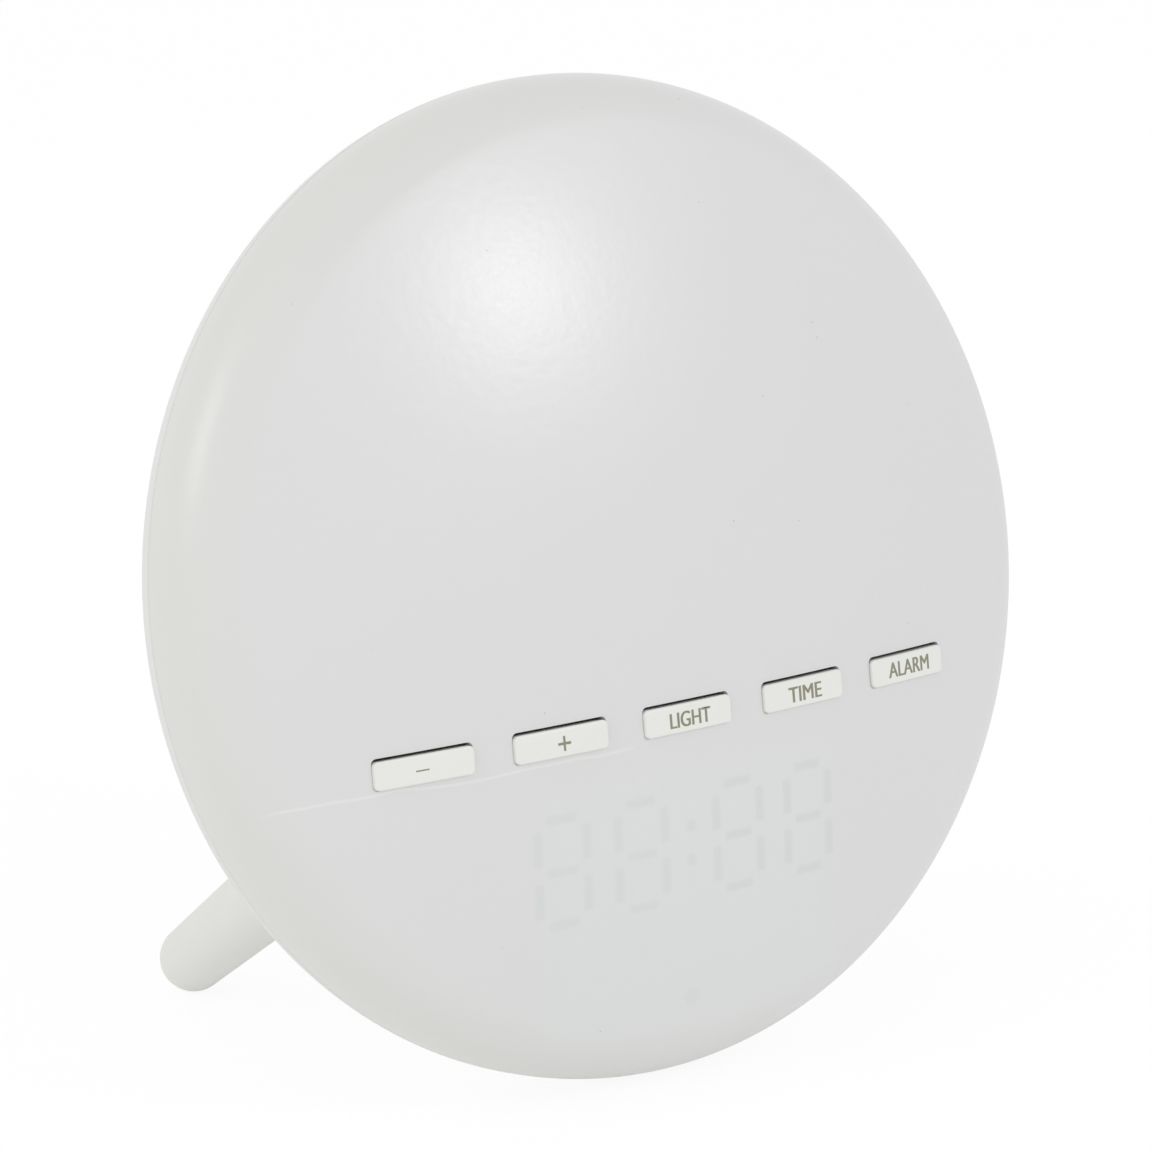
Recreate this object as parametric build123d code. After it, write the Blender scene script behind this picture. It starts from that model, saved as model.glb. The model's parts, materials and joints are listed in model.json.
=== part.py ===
from build123d import *
import os
from math import asin, atan2, cos, dist, hypot, pi, radians, sin, sqrt, tan

# A sunrise alarm clock: a round disc with an opal front, leaning back on two legs.
# Millimetres. Everything is drawn in the disc's own frame: X to the right, Y from the
# front to the back along the disc's axis, Z up in the plane of the disc, and the origin
# at the middle of the seam between the two shells. The last step leans the disc back
# and stands it on the table, with the origin under the middle of the whole clock.

# Shells
disc_diameter = 170.0
shell_wall = 2.0
dome_radius = 257.0  # the shallow front dome
front_rounding = 12.5  # between the dome and the skirt
skirt_depth = 1.9  # straight edge between that rounding and the seam
rear_rounding = 7.9  # starts at the seam
rear_depth = 20.0  # seam to flat back
back_edge_gap = 5.8  # on the flat back, outside what it holds
back_edge_rounding = 3.0
seam_groove = 0.3  # depth and half width of the groove along the seam
lip_height = 2.4  # the rear cover's lip inside the front shell
lip_wall = 1.2
lip_root = 2.0
lip_gap = 0.3

# Stance
lean_angle = 13.8
leg_pitch = 90.0
leg_angle = 22.8  # between the leg and the disc's axis
leg_seat_back = 22.0  # where the leg's shoulder sits: Y, then Z
leg_seat_height = -39.1
leg_root_diameter = 15.3
leg_tip_diameter = 12.0
leg_spigot_diameter = 11.0
leg_spigot_length = 9.0
leg_spigot_gap = 0.05
leg_spigot_end_gap = 0.2
leg_collar_wall = 2.0
leg_edge = 0.5  # rounding of the collar, and bevel of the leg's shoulder
leg_socket_floor = 2.5
leg_screw_bite = 10.0
foot_length = 12.0
foot_width = 3.0
foot_thickness = 1.2
foot_land = 0.8  # how far the shell is cut flat above the table for the foot
foot_gap = 0.1

# Screws: the larger size for shells, legs and boards, the smaller for keys and door
screw_diameter = 2.9
screw_head_diameter = 5.6
screw_head_height = 2.0
small_screw_diameter = 1.9
small_screw_head_diameter = 3.6
small_screw_head_height = 1.3
screw_hole_gap = 0.05  # radial, in a hole that the thread grips
screw_pass_gap = 0.25  # radial, in a hole that the screw passes through
screw_head_gap = 0.3
screw_slot_width = 0.7
screw_slot_share = 0.6  # of the head's diameter
hole_end_gap = 1.0  # a screw hole goes on behind the screw's tip
case_screw_inset = 11.0  # from the disc's edge
case_screw_count = 4
case_screw_angle = 45.0  # of the first
case_screw_length = 10.0
case_screw_floor = 2.5
case_boss_diameter = 6.8
case_post_wall = 1.4

# Keys
key_pitch = 24.6
key_width = 17.4
key_height = 4.8
key_corner = 0.9
key_edge = 0.4
key_proud = 0.8
key_travel = 0.5
key_top_gap = 0.8  # the keys hang low in their windows
key_bottom_gap = 0.15
key_side_gap = 0.4
key_flange_overhang = 1.5
key_flange_thickness = 1.0
key_flange_gap = 0.3
key_stem_width = 4.8
key_stem_height = 2.8
key_stem_gap = 0.2
key_guide_gap = 0.3  # behind the flanges of keys that are pressed in
key_guide_thickness = 1.6
key_guide_end = 6.1  # past the outer keys
key_guide_edge = 3.1  # above and below the keys
key_guide_display_gap = 1.75  # above the display's shroud
key_guide_ear_width = 7.0
key_guide_screw_gap = 1.2  # between the keys' flanges and the bosses above them
key_guide_screw_length = 5.0
key_guide_boss_diameter = 4.8
key_guide_to_plungers = 2.1

# Switches
switch_size = 6.0
switch_height = 3.5
plunger_diameter = 3.5
plunger_height = 1.5
plunger_depth = 1.0  # of the plunger inside the switch
plunger_gap = 0.08
plunger_end_gap = 0.3

# Boards
board_thickness = 1.6
board_edge_gap = 0.6  # between the boards' round edge and the case bosses
main_board_edge = 5.0  # above the switches
board_post_diameter = 6.4
board_screw_length = 8.0
board_screw_inset = 4.5  # from the boards' round edge
main_screw_rise = 2.2  # of the upper screws over the middle of the keys
main_screw_angle = 75.5  # of the lower screws, below the horizontal
lamp_screw_angles = (8.0, 68.0)

# Display
digit_height = 20.3
digit_width = 10.6
digit_slant = 9.0
digit_pitch = 15.2
digit_middle_pitch = 19.9
segment_width = 1.6
segment_gap = 0.35
segment_depth = 1.0
colon_pitch = 6.4
colon_dot_diameter = 1.7
display_margin = 2.7
display_depth = 8.0
display_pin_diameter = 0.5
display_pin_pitch = 5.08
display_pins_per_row = 8
display_pin_inset = 2.0
display_pin_length = 1.4  # behind the board
shroud_wall = 1.2
shroud_gap = 0.3
shroud_dome_gap = 0.4
shroud_screw_gap = 0.96  # above the heads of the lower board screws

# Lamp
reflector_thickness = 1.0
reflector_baffle_gap = 0.6  # above the key guide
reflector_baffle_wall = 1.2
lamp_board_gap = 1.0  # above the baffle
reflector_hole_diameter = 7.0
led_width = 3.5
led_length = 2.8
led_height = 0.8
led_counts = (9, 5)  # on the outer and the inner arc
led_edge = 18.0  # from the board's edge to the outer arc
led_arc_pitch = 24.0
led_arc_start = 14.0
led_arc_sweep = 152.0

# Loudspeaker
speaker_door_gap = 1.0  # between the loudspeaker's ring and the seat of the battery door
speaker_diameter = 40.0
speaker_flange = 2.0
speaker_flange_thickness = 1.2
speaker_basket_depth = 7.2
speaker_basket_diameter = 22.0
speaker_basket_wall = 0.8
speaker_magnet_diameter = 19.0
speaker_magnet_depth = 5.0
speaker_cone_wall = 0.5
speaker_cone_depth = 4.0
speaker_dome_diameter = 12.0
speaker_dome_rise = 2.0
speaker_gasket_thickness = 1.2
speaker_ring_wall = 1.5
speaker_ring_height = 3.6
speaker_gap = 0.3
speaker_lug_width = 7.0  # the tag that the leads end on, on the front of the basket
speaker_lug_length = 4.0
grille_hole_diameter = 2.0
grille_pitch = 4.3
grille_rings = 3
vent_length = 12.0
vent_width = 1.6
vent_pitch = 4.0
vent_count = 5
vent_x = 38.0
vent_z = 14.0

# Backup cell
cell_diameter = 20.0
cell_thickness = 3.2
cell_gap = 0.3
cell_x = 0.0
cell_spring_space = 0.8
cell_well_wall = 1.5
cell_well_floor = 1.5
contact_thickness = 0.3
contact_width = 4.0
contact_tail = 2.5
contact_tail_width = 2.0
contact_length = 15.0
contact_foot = 5.0  # the flat end of the minus contact
contact_rise = 3.8  # from there to where it touches the cell
contact_slot_gap = 0.1
door_ledge = 2.2  # around the well
door_screw_ledge = 7.7  # below the well, for the screw
door_corner = 3.0
door_edge = 0.3
door_thickness = 2.0
door_gap = 0.2
door_screw_inset = 3.6
door_screw_length = 6.0
door_post_diameter = 5.4
door_seat_wall = 2.0
door_tongue_width = 5.0
door_tongue_pitch = 13.0
door_tongue_length = 1.2
door_tongue_thickness = 1.2
door_grip_count = 4
door_grip_width = 0.8
door_grip_depth = 0.5
door_grip_pitch = 2.0
door_grip_length = 10.0

# Power inlet
jack_x = 0.0
jack_below_door = 14.0
jack_barrel_diameter = 10.8
jack_flange_diameter = 14.0
jack_flange_thickness = 1.5
jack_depth = 11.0  # from the flat back inwards
jack_bore_diameter = 5.8
jack_bore_depth = 9.5
jack_pin_diameter = 2.0
jack_pin_recess = 1.5
jack_nut_flats = 14.0
jack_nut_sides = 6
jack_flange_edge = 0.4
jack_nut_thickness = 2.5
jack_gap = 0.1
jack_tail = 2.0
jack_spring_width = 2.0
jack_spring_thickness = 0.3

# Electronics and wires on the back of the boards: places are from the display's middle
chip_size = (10.0, 2.3, 7.5)
chip_offset = (-4.0, 0.3)
crystal_diameter = 3.0
crystal_height = 8.0
crystal_offset = (11.0, 15.3)
capacitor_diameter = 6.3
capacitor_height = 7.5
capacitor_offsets = ((-30.0, 1.3), (30.0, 1.3), (30.0, -7.7))
header_size = (7.5, 6.0, 5.0)
speaker_header_offset = (-18.0, 24.3)
main_lamp_header_offset = (20.0, 24.3)
cell_header_offset = (16.0, 4.3)
power_header_offset = (-24.0, -7.7)
lamp_header_rise = 7.0  # above the lower edge of the upper board
lead_diameter = 1.0
lead_pitch = 2.5
lead_straight = 4.5
lead_bend_share = 0.45  # of the shorter run beside a bend

disc_radius = disc_diameter / 2
inner_back = rear_depth - shell_wall
lean = radians(lean_angle)
rim_radius = disc_radius - front_rounding
dome_centre = (0.0, sqrt((dome_radius - front_rounding) ** 2 - rim_radius**2) - skirt_depth)
rear_rim_radius = disc_radius - rear_rounding
key_names = ("minus", "plus", "light", "time", "alarm")
middle_key = (len(key_names) - 1) / 2
key_places = {name: (place - middle_key) * key_pitch for place, name in enumerate(key_names)}
key_seat = shell_wall + key_flange_gap  # from the dome's surface to the keys' flanges
key_under = key_seat + key_flange_thickness

# What the flat back holds, from the bottom up: power inlet, battery door, loudspeaker
jack_nut_reach = jack_nut_flats / 2 / cos(pi / jack_nut_sides)
door_height = cell_diameter + 2 * cell_gap + door_ledge + door_screw_ledge
speaker_ring_radius = speaker_diameter / 2 + speaker_gap + speaker_ring_wall
speaker_above_door = door_gap + door_seat_wall + speaker_door_gap + speaker_ring_radius
stack_height = jack_nut_reach + jack_below_door + door_height + speaker_above_door + speaker_ring_radius
back_radius = stack_height / 2 + back_edge_gap
jack_z = jack_nut_reach - stack_height / 2
door_bottom = jack_z + jack_below_door
door_top = door_bottom + door_height
door_z = (door_top + door_bottom) / 2
cell_z = door_bottom + door_screw_ledge + cell_gap + cell_diameter / 2
speaker_height = door_top + speaker_above_door


def rear_dome():
    # Centre and radius of the arc that leaves the rear rounding smoothly and meets the
    # edge of the flat back
    excess = rear_depth**2 + back_radius**2 - rear_rim_radius**2 + rear_rounding**2
    square = rear_depth**2 - rear_rounding**2
    half_linear = rear_depth * (excess / 2 - rear_rounding**2)
    constant = excess**2 / 4 - rear_rounding**2 * (rear_depth**2 + back_radius**2)
    offset = (-half_linear + sqrt(half_linear**2 - square * constant)) / square
    return (0.0, -offset), hypot(rear_depth + offset, back_radius)


rear_centre, rear_dome_radius = rear_dome()


# Shapes used all over


def block(x_low, x_high, y_low, y_high, z_low, z_high):
    middle = ((x_low + x_high) / 2, (y_low + y_high) / 2, (z_low + z_high) / 2)
    return Pos(*middle) * Box(x_high - x_low, y_high - y_low, z_high - z_low)


def rod(x, z, diameter, front, back):
    # A cylinder along the disc's axis
    return Pos(x, (front + back) / 2, z) * Rot(90, 0, 0) * Cylinder(diameter / 2, back - front)


def prism(x, z, outline, front, back):
    # An outline drawn as seen from the front, X right and Y up, made solid along the disc's axis
    plane = Plane(origin=(x, back, z), x_dir=(1, 0, 0), z_dir=(0, -1, 0))
    return extrude(plane * outline, back - front)


def arc_about(centre, start, end):
    # The short arc about a centre
    middle = ((start[0] + end[0]) / 2 - centre[0], (start[1] + end[1]) / 2 - centre[1])
    scale = dist(centre, start) / hypot(*middle)
    return ThreePointArc(start, (centre[0] + middle[0] * scale, centre[1] + middle[1] * scale), end)


def towards(start, end, length):
    share = length / dist(start, end)
    return (start[0] + (end[0] - start[0]) * share, start[1] + (end[1] - start[1]) * share)


def dome_front(from_axis, inset):
    # Y of the front dome, moved inwards by inset, at a distance from the disc's axis
    return dome_centre[1] - sqrt((dome_radius - inset) ** 2 - from_axis**2)


def front_form(inset):
    # The space in front of the seam, inside the outer surface moved inwards by inset
    rim = (rim_radius, -skirt_depth)
    nose = (0.0, dome_front(0, inset))
    meet = towards(dome_centre, rim, dome_radius - inset)
    side = (disc_radius - inset, -skirt_depth)
    outline = arc_about(dome_centre, nose, meet) + arc_about(rim, meet, side)
    outline += Polyline(side, (side[0], 0.0), (0.0, 0.0), nose)
    return revolve(make_face(outline), Axis.Y)


def rear_form(inset):
    # The space behind the seam, inside the outer surface moved inwards by inset
    rim = (rear_rim_radius, 0.0)
    side = (disc_radius - inset, 0.0)
    meet = towards(rear_centre, rim, rear_dome_radius - inset)
    back = rear_depth - inset
    edge = (sqrt((rear_dome_radius - inset) ** 2 - (back - rear_centre[1]) ** 2), back)
    outline = arc_about(rim, side, meet) + arc_about(rear_centre, meet, edge)
    outline += Polyline(edge, (0.0, back), (0.0, 0.0), side)
    face = make_face(outline)
    corner = face.vertices().sort_by_distance((*edge, 0))[0]
    return revolve(fillet(corner, back_edge_rounding), Axis.Y)


def screw(seat, out, diameter, head_diameter, head_height, length):
    # Its head bears on seat and faces out
    head = Pos(0, 0, head_height / 2) * Cylinder(head_diameter / 2, head_height)
    shank = Pos(0, 0, -length / 2) * Cylinder(diameter / 2, length)
    slot = Box(head_diameter * screw_slot_share, screw_slot_width, head_height)
    cross = Pos(0, 0, head_height) * (slot + Rot(0, 0, 90) * slot)
    return Plane(origin=seat, z_dir=out) * (head + shank - cross)


def large_screw(seat, out, length):
    return screw(seat, out, screw_diameter, screw_head_diameter, screw_head_height, length)


def small_screw(seat, out, length):
    return screw(
        seat, out, small_screw_diameter, small_screw_head_diameter, small_screw_head_height, length
    )


def both_sides(x, z):
    return ((-x, z), (x, z))


def on_circle(radius, angle):
    return (radius * cos(radians(angle)), radius * sin(radians(angle)))


def group(solids):
    return Compound(children=list(solids))


# Where the pieces stand
over = 5.0  # how far a cutting shape runs past what it cuts
in_front = dome_front(0, 0) - over
behind = rear_depth + over
case_screw_places = [
    on_circle(disc_radius - case_screw_inset, case_screw_angle + place * 360 / case_screw_count)
    for place in range(case_screw_count)
]
board_radius = disc_radius - case_screw_inset - case_boss_diameter / 2 - board_edge_gap
screw_circle = board_radius - board_screw_inset
lower_screw = on_circle(screw_circle, -main_screw_angle)
display_edge = digit_height / 2 + display_margin + shroud_gap + shroud_wall
digit_row_height = lower_screw[1] + screw_head_diameter / 2 + shroud_screw_gap + display_edge
key_row_height = digit_row_height + display_edge + key_guide_display_gap + key_guide_edge + key_height / 2
between_keys = 1.5 * key_pitch
key_guide_screw_rise = key_height / 2 + key_flange_overhang + key_guide_screw_gap
key_guide_screw_z = key_row_height + key_guide_screw_rise + key_guide_boss_diameter / 2
guide_screw_places = both_sides(between_keys, key_guide_screw_z)
main_screw_places = (
    *both_sides(between_keys, key_row_height + main_screw_rise),
    *both_sides(*lower_screw),
)
lamp_screw_places = [
    place for angle in lamp_screw_angles for place in both_sides(*on_circle(screw_circle, angle))
]
screw_hole = screw_diameter + 2 * screw_hole_gap
screw_pass_hole = screw_diameter + 2 * screw_pass_gap
screw_head_hole = screw_head_diameter + 2 * screw_head_gap
small_screw_hole = small_screw_diameter + 2 * screw_hole_gap
small_screw_pass_hole = small_screw_diameter + 2 * screw_pass_gap
flange_corner = hypot(2 * key_pitch + key_width / 2, abs(key_row_height) + key_height / 2)
key_guide_front = dome_front(flange_corner + key_flange_overhang, key_under) + key_travel + key_guide_gap
guide_back = key_guide_front + key_guide_thickness
plunger_front = guide_back + key_guide_to_plungers
switch_front = plunger_front + plunger_height
board_front = switch_front + switch_height
board_back = board_front + board_thickness
reflector_front = board_front - reflector_thickness
main_board_top = key_row_height + switch_size / 2 + main_board_edge
guide_top = key_guide_screw_z + key_guide_boss_diameter / 2
baffle_bottom = guide_top + reflector_baffle_gap
baffle_top = baffle_bottom + reflector_baffle_wall
lamp_board_bottom = baffle_top + lamp_board_gap


def by_display(offset):
    # A place on the main board, from the middle of the display
    return (offset[0], digit_row_height + offset[1])


chip_place = by_display(chip_offset)
crystal_place = by_display(crystal_offset)
capacitor_places = [by_display(offset) for offset in capacitor_offsets]
speaker_header = by_display(speaker_header_offset)
main_lamp_header = by_display(main_lamp_header_offset)
cell_header = by_display(cell_header_offset)
power_header = by_display(power_header_offset)
lamp_header = (main_lamp_header[0], lamp_board_bottom + lamp_header_rise)
door_width = cell_diameter + 2 * (cell_gap + door_ledge)
door_inner = rear_depth - door_thickness
cell_back = door_inner - cell_gap
cell_front = cell_back - cell_thickness
well_floor = cell_front - cell_spring_space
well_front = well_floor - cell_well_floor
contact_end = well_front - contact_tail
door_screw_z = door_bottom + door_screw_inset
door_screw_seat = rear_depth - small_screw_head_height
jack_front = rear_depth - jack_depth
jack_mouth = rear_depth + jack_flange_thickness
speaker_flange_back = inner_back - speaker_gasket_thickness
speaker_flange_front = speaker_flange_back - speaker_flange_thickness
speaker_basket_front = speaker_flange_back - speaker_basket_depth
speaker_open_radius = speaker_diameter / 2 - speaker_flange
speaker_lug_top = speaker_height - speaker_magnet_diameter / 2 - speaker_gap
speaker_lug_front = speaker_basket_front - speaker_basket_wall
header_back = board_back + header_size[1]

# The leg's line, and how the clock stands
stand_height = rear_rim_radius * cos(lean) + rear_rounding
leg_line = (0.0, cos(radians(leg_angle)), -sin(radians(leg_angle)))
leg_seat_above_table = stand_height + leg_seat_height * cos(lean) - leg_seat_back * sin(lean)
leg_length = (leg_seat_above_table - leg_tip_diameter / 2) / sin(lean + radians(leg_angle))
leg_socket_depth = leg_spigot_length + leg_spigot_end_gap
leaning = Pos(0, 0, stand_height) * Rot(-lean_angle, 0, 0)
foot_front_limit = -disc_radius * sin(lean)
foot_rear_limit = sqrt(rear_rounding**2 - (rear_rounding - foot_land) ** 2) - rear_rim_radius * sin(lean)
foot_y = (foot_front_limit + foot_rear_limit) / 2


def leg_plane(side, along):
    # Square to a leg's axis, facing the leg's tip, at a distance from its shoulder
    seat = (
        side * leg_pitch / 2,
        leg_seat_back + along * leg_line[1],
        leg_seat_height + along * leg_line[2],
    )
    return Plane(origin=seat, x_dir=(1, 0, 0), z_dir=leg_line)


def leg_rod(side, diameter, low, high):
    # A cylinder on a leg's axis, between two distances from its shoulder
    return leg_plane(side, (low + high) / 2) * Cylinder(diameter / 2, high - low)


def inside_of(inset):
    return front_form(inset) + rear_form(inset)


def rounded_end(piece, axis, edge):
    # Rounds the edges of the end that lies furthest along an axis
    return fillet(piece.faces().sort_by(axis)[-1].edges(), edge)


def seam_cut():
    # The V-shaped groove that both shells leave along the seam
    across, deep = seam_groove + over, disc_radius - seam_groove
    outline = Polyline((deep, 0), (disc_radius + over, -across), (disc_radius + over, across), close=True)
    return revolve(make_face(outline), Axis.Y)


# Shells


def make_front_diffuser():
    core = front_form(shell_wall / 2)
    shell = front_form(0) - front_form(shell_wall)
    for x, z in case_screw_places:
        shell += rod(x, z, case_boss_diameter, in_front, 0) & core
    for x, z in guide_screw_places:
        shell += rod(x, z, key_guide_boss_diameter, in_front, key_guide_front) & core
    for x, z in case_screw_places:
        depth = case_screw_length - case_screw_floor + hole_end_gap
        shell -= rod(x, z, screw_hole, -depth, over)
    for x, z in guide_screw_places:
        depth = key_guide_screw_length - key_guide_thickness + hole_end_gap
        shell -= rod(x, z, small_screw_hole, key_guide_front - depth, over)
    width = key_width + 2 * key_side_gap
    height = key_height + key_top_gap + key_bottom_gap
    middle = key_row_height + (key_top_gap - key_bottom_gap) / 2
    window = RectangleRounded(width, height, key_corner)
    for x in key_places.values():
        shell -= prism(x, middle, window, in_front, 0)
    return shell - seam_cut()


def make_rear_cover():
    outside = rear_form(0)
    core = inside_of(shell_wall / 2)
    cover = outside - rear_form(shell_wall)
    # Lip that centres the front shell
    lip_diameter = 2 * (disc_radius - shell_wall - lip_gap)
    lip = rod(0, 0, lip_diameter, -lip_height, 0)
    lip += rod(0, 0, disc_diameter - shell_wall, 0, lip_root) & outside
    cover += lip - rod(0, 0, lip_diameter - 2 * lip_wall, -lip_height, lip_root)
    # Posts for the case screws and for the boards
    for x, z in case_screw_places:
        cover += rod(x, z, screw_head_hole + 2 * case_post_wall, 0, behind) & outside
    for x, z in (*main_screw_places, *lamp_screw_places):
        cover += rod(x, z, board_post_diameter, board_back, behind) & core
    # Leg sockets
    collar = leg_root_diameter + 2 * leg_collar_wall
    for side in (-1, 1):
        socket = leg_rod(side, collar, -leg_socket_depth - leg_socket_floor, 0)
        cover += rounded_end(socket, Axis.Y, leg_edge)
    # Loudspeaker ring, cell well and the seat of its door
    ring_front = inner_back - speaker_ring_height
    cover += rod(0, speaker_height, 2 * speaker_ring_radius, ring_front, inner_back)
    well = cell_diameter + 2 * cell_gap
    cover += rod(cell_x, cell_z, well + 2 * cell_well_wall, well_front, inner_back)
    seat_front = door_inner - door_seat_wall
    seat = RectangleRounded(
        door_width + 2 * (door_gap + door_seat_wall),
        door_height + 2 * (door_gap + door_seat_wall),
        door_corner + door_gap + door_seat_wall,
    )
    cover += prism(cell_x, door_z, seat, seat_front, inner_back)
    post_front = door_screw_seat - door_screw_length - hole_end_gap - cell_well_floor
    cover += rod(cell_x, door_screw_z, door_post_diameter, post_front, door_inner)
    # Openings
    for x, z in case_screw_places:
        cover -= rod(x, z, screw_head_hole, case_screw_floor, behind)
        cover -= rod(x, z, screw_pass_hole, -over, case_screw_floor)
    for x, z in (*main_screw_places, *lamp_screw_places):
        depth = board_screw_length - board_thickness + hole_end_gap
        cover -= rod(x, z, screw_hole, board_back - over, board_back + depth)
    for side in (-1, 1):
        cover -= leg_rod(side, leg_spigot_diameter + 2 * leg_spigot_gap, -leg_socket_depth, over)
        cover -= leg_rod(side, screw_pass_hole, -leg_socket_depth - over, 0)
    cover -= rod(0, speaker_height, speaker_diameter + 2 * speaker_gap, ring_front, inner_back)
    for x, z in grille_holes():
        cover -= rod(x, z, grille_hole_diameter, ring_front, behind)
    for side in (-1, 1):
        for row in range(vent_count):
            z = vent_z + (row - (vent_count - 1) / 2) * vent_pitch
            cover -= prism(side * vent_x, z, SlotOverall(vent_length, vent_width), ring_front, behind)
    door_hole = RectangleRounded(
        door_width + 2 * door_gap, door_height + 2 * door_gap, door_corner + door_gap
    )
    cover -= prism(cell_x, door_z, door_hole, door_inner, behind)
    cover -= rod(cell_x, cell_z, well, well_floor, behind)
    cover -= rod(cell_x, door_screw_z, small_screw_hole, post_front + cell_well_floor, behind)
    for x in door_tongue_places():
        cover -= tongue(x, door_gap, seat_front)
    cover -= minus_tail(contact_slot_gap)
    cover -= plus_strip(contact_slot_gap)
    cover -= rod(jack_x, jack_z, jack_barrel_diameter + 2 * jack_gap, 0, behind)
    # Flat land and recess for the foot
    land = block(-disc_radius, disc_radius, foot_front_limit, 0, -over, foot_land)
    recess = foot_shape(foot_gap, foot_land, foot_thickness)
    return cover - leaning.inverse() * (land + recess) - seam_cut()


def grille_holes():
    # A hexagonal field of holes over the loudspeaker
    places = []
    for row in range(-grille_rings, grille_rings + 1):
        count = 2 * grille_rings + 1 - abs(row)
        for place in range(count):
            x = (place - (count - 1) / 2) * grille_pitch
            places.append((x, speaker_height + row * grille_pitch * sin(radians(60))))
    return places


# Legs and foot


def make_leg(side):
    root, tip = leg_root_diameter / 2, leg_tip_diameter / 2
    # The straight side meets the round tip smoothly
    taper = atan2(root, leg_length) - asin(tip / hypot(leg_length, root))
    meet = (tip * cos(taper), leg_length - tip * sin(taper))
    end = (0.0, leg_length + tip)
    outline = Polyline(end, (0.0, 0.0), (root - leg_edge, 0.0), (root, leg_edge), meet)
    outline += arc_about((0.0, leg_length), meet, end)
    turned = revolve(Plane.XZ * make_face(outline), Axis.Z)
    leg = leg_plane(side, 0) * turned
    leg += leg_rod(side, leg_spigot_diameter, -leg_spigot_length, 0)
    hole_end = leg_screw_bite - leg_spigot_length + hole_end_gap
    return leg - leg_rod(side, screw_hole, -leg_spigot_length, hole_end)


def make_leg_screws():
    seat = -leg_socket_depth - leg_socket_floor
    length = leg_socket_floor + leg_spigot_end_gap + leg_screw_bite
    inwards = tuple(-part for part in leg_line)
    return group(large_screw(leg_plane(side, seat).origin, inwards, length) for side in (-1, 1))


def foot_shape(gap, low, high):
    # Drawn on the table, under the leaning disc
    outline = SlotOverall(foot_length + 2 * gap, foot_width + 2 * gap)
    return Pos(0, foot_y, low) * extrude(outline, high - low)


def make_foot_pad():
    return leaning.inverse() * foot_shape(0, 0, foot_thickness)


# Keys, their guide and their switches


def make_key(x):
    outline = RectangleRounded(key_width, key_height, key_corner)
    cap = prism(x, key_row_height, outline, in_front, 0) & front_form(-key_proud)
    cap -= front_form(key_under)
    face = cap.faces().sort_by(Axis.Y)[0]
    cap = fillet(face.edges(), key_edge)
    wide = RectangleRounded(
        key_width + 2 * key_flange_overhang,
        key_height + 2 * key_flange_overhang,
        key_corner + key_flange_overhang,
    )
    flange = prism(x, key_row_height, wide, in_front, 0) & front_form(key_seat)
    flange -= front_form(key_under)
    stem = stem_shape(x, 0, in_front, plunger_front) & front_form(key_seat)
    return cap + flange + stem


def stem_shape(x, gap, front, back):
    across, up = key_stem_width / 2 + gap, key_stem_height / 2 + gap
    return block(x - across, x + across, front, back, key_row_height - up, key_row_height + up)


def make_plunger(x):
    return rod(x, key_row_height, plunger_diameter, plunger_front, switch_front + plunger_depth)


def make_switch_bodies():
    half = switch_size / 2
    hole = plunger_diameter + 2 * plunger_gap
    hole_end = switch_front + plunger_depth + key_travel + plunger_end_gap
    bodies = []
    for x in key_places.values():
        low, high = key_row_height - half, key_row_height + half
        body = block(x - half, x + half, switch_front, board_front, low, high)
        bodies.append(body - rod(x, key_row_height, hole, switch_front, hole_end))
    return group(bodies)


def make_key_guide():
    low = key_row_height - key_height / 2 - key_guide_edge
    high = key_row_height + key_height / 2 + key_guide_edge
    half = 2 * key_pitch + key_width / 2 + key_guide_end
    guide = block(-half, half, key_guide_front, guide_back, low, high)
    for x, z in guide_screw_places:
        ear = key_guide_ear_width / 2
        guide += block(x - ear, x + ear, key_guide_front, guide_back, low, guide_top)
    for x, z in guide_screw_places:
        guide -= rod(x, z, small_screw_pass_hole, key_guide_front, guide_back)
    for x in key_places.values():
        guide -= stem_shape(x, key_stem_gap, key_guide_front, guide_back)
    return guide


def make_key_guide_screws():
    return group(
        small_screw((x, guide_back, z), (0, 1, 0), key_guide_screw_length) for x, z in guide_screw_places
    )


# Boards


def board_shape(low, high):
    disc = rod(0, 0, 2 * board_radius, board_front, board_back)
    return disc & block(-board_radius, board_radius, board_front, board_back, low, high)


def make_main_board():
    board = board_shape(-board_radius, main_board_top)
    for x, z in main_screw_places:
        board -= rod(x, z, screw_pass_hole, board_front, board_back)
    for x, z in display_pin_places():
        board -= rod(x, z, display_pin_diameter, board_front, board_back)
    return board


def make_lamp_board():
    board = board_shape(lamp_board_bottom, board_radius)
    for x, z in lamp_screw_places:
        board -= rod(x, z, screw_pass_hole, board_front, board_back)
    return board


def make_board_screws():
    screws = [
        large_screw((x, board_front, z), (0, -1, 0), board_screw_length) for x, z in main_screw_places
    ]
    length = board_screw_length + reflector_thickness
    screws += [large_screw((x, reflector_front, z), (0, -1, 0), length) for x, z in lamp_screw_places]
    return group(screws)


# Display


def display_box(gap, front, back):
    width = 2 * digit_pitch + digit_middle_pitch + digit_width + 2 * display_margin + 2 * gap
    height = digit_height + 2 * display_margin + 2 * gap
    return prism(0, digit_row_height, Rectangle(width, height), front, back)


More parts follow.
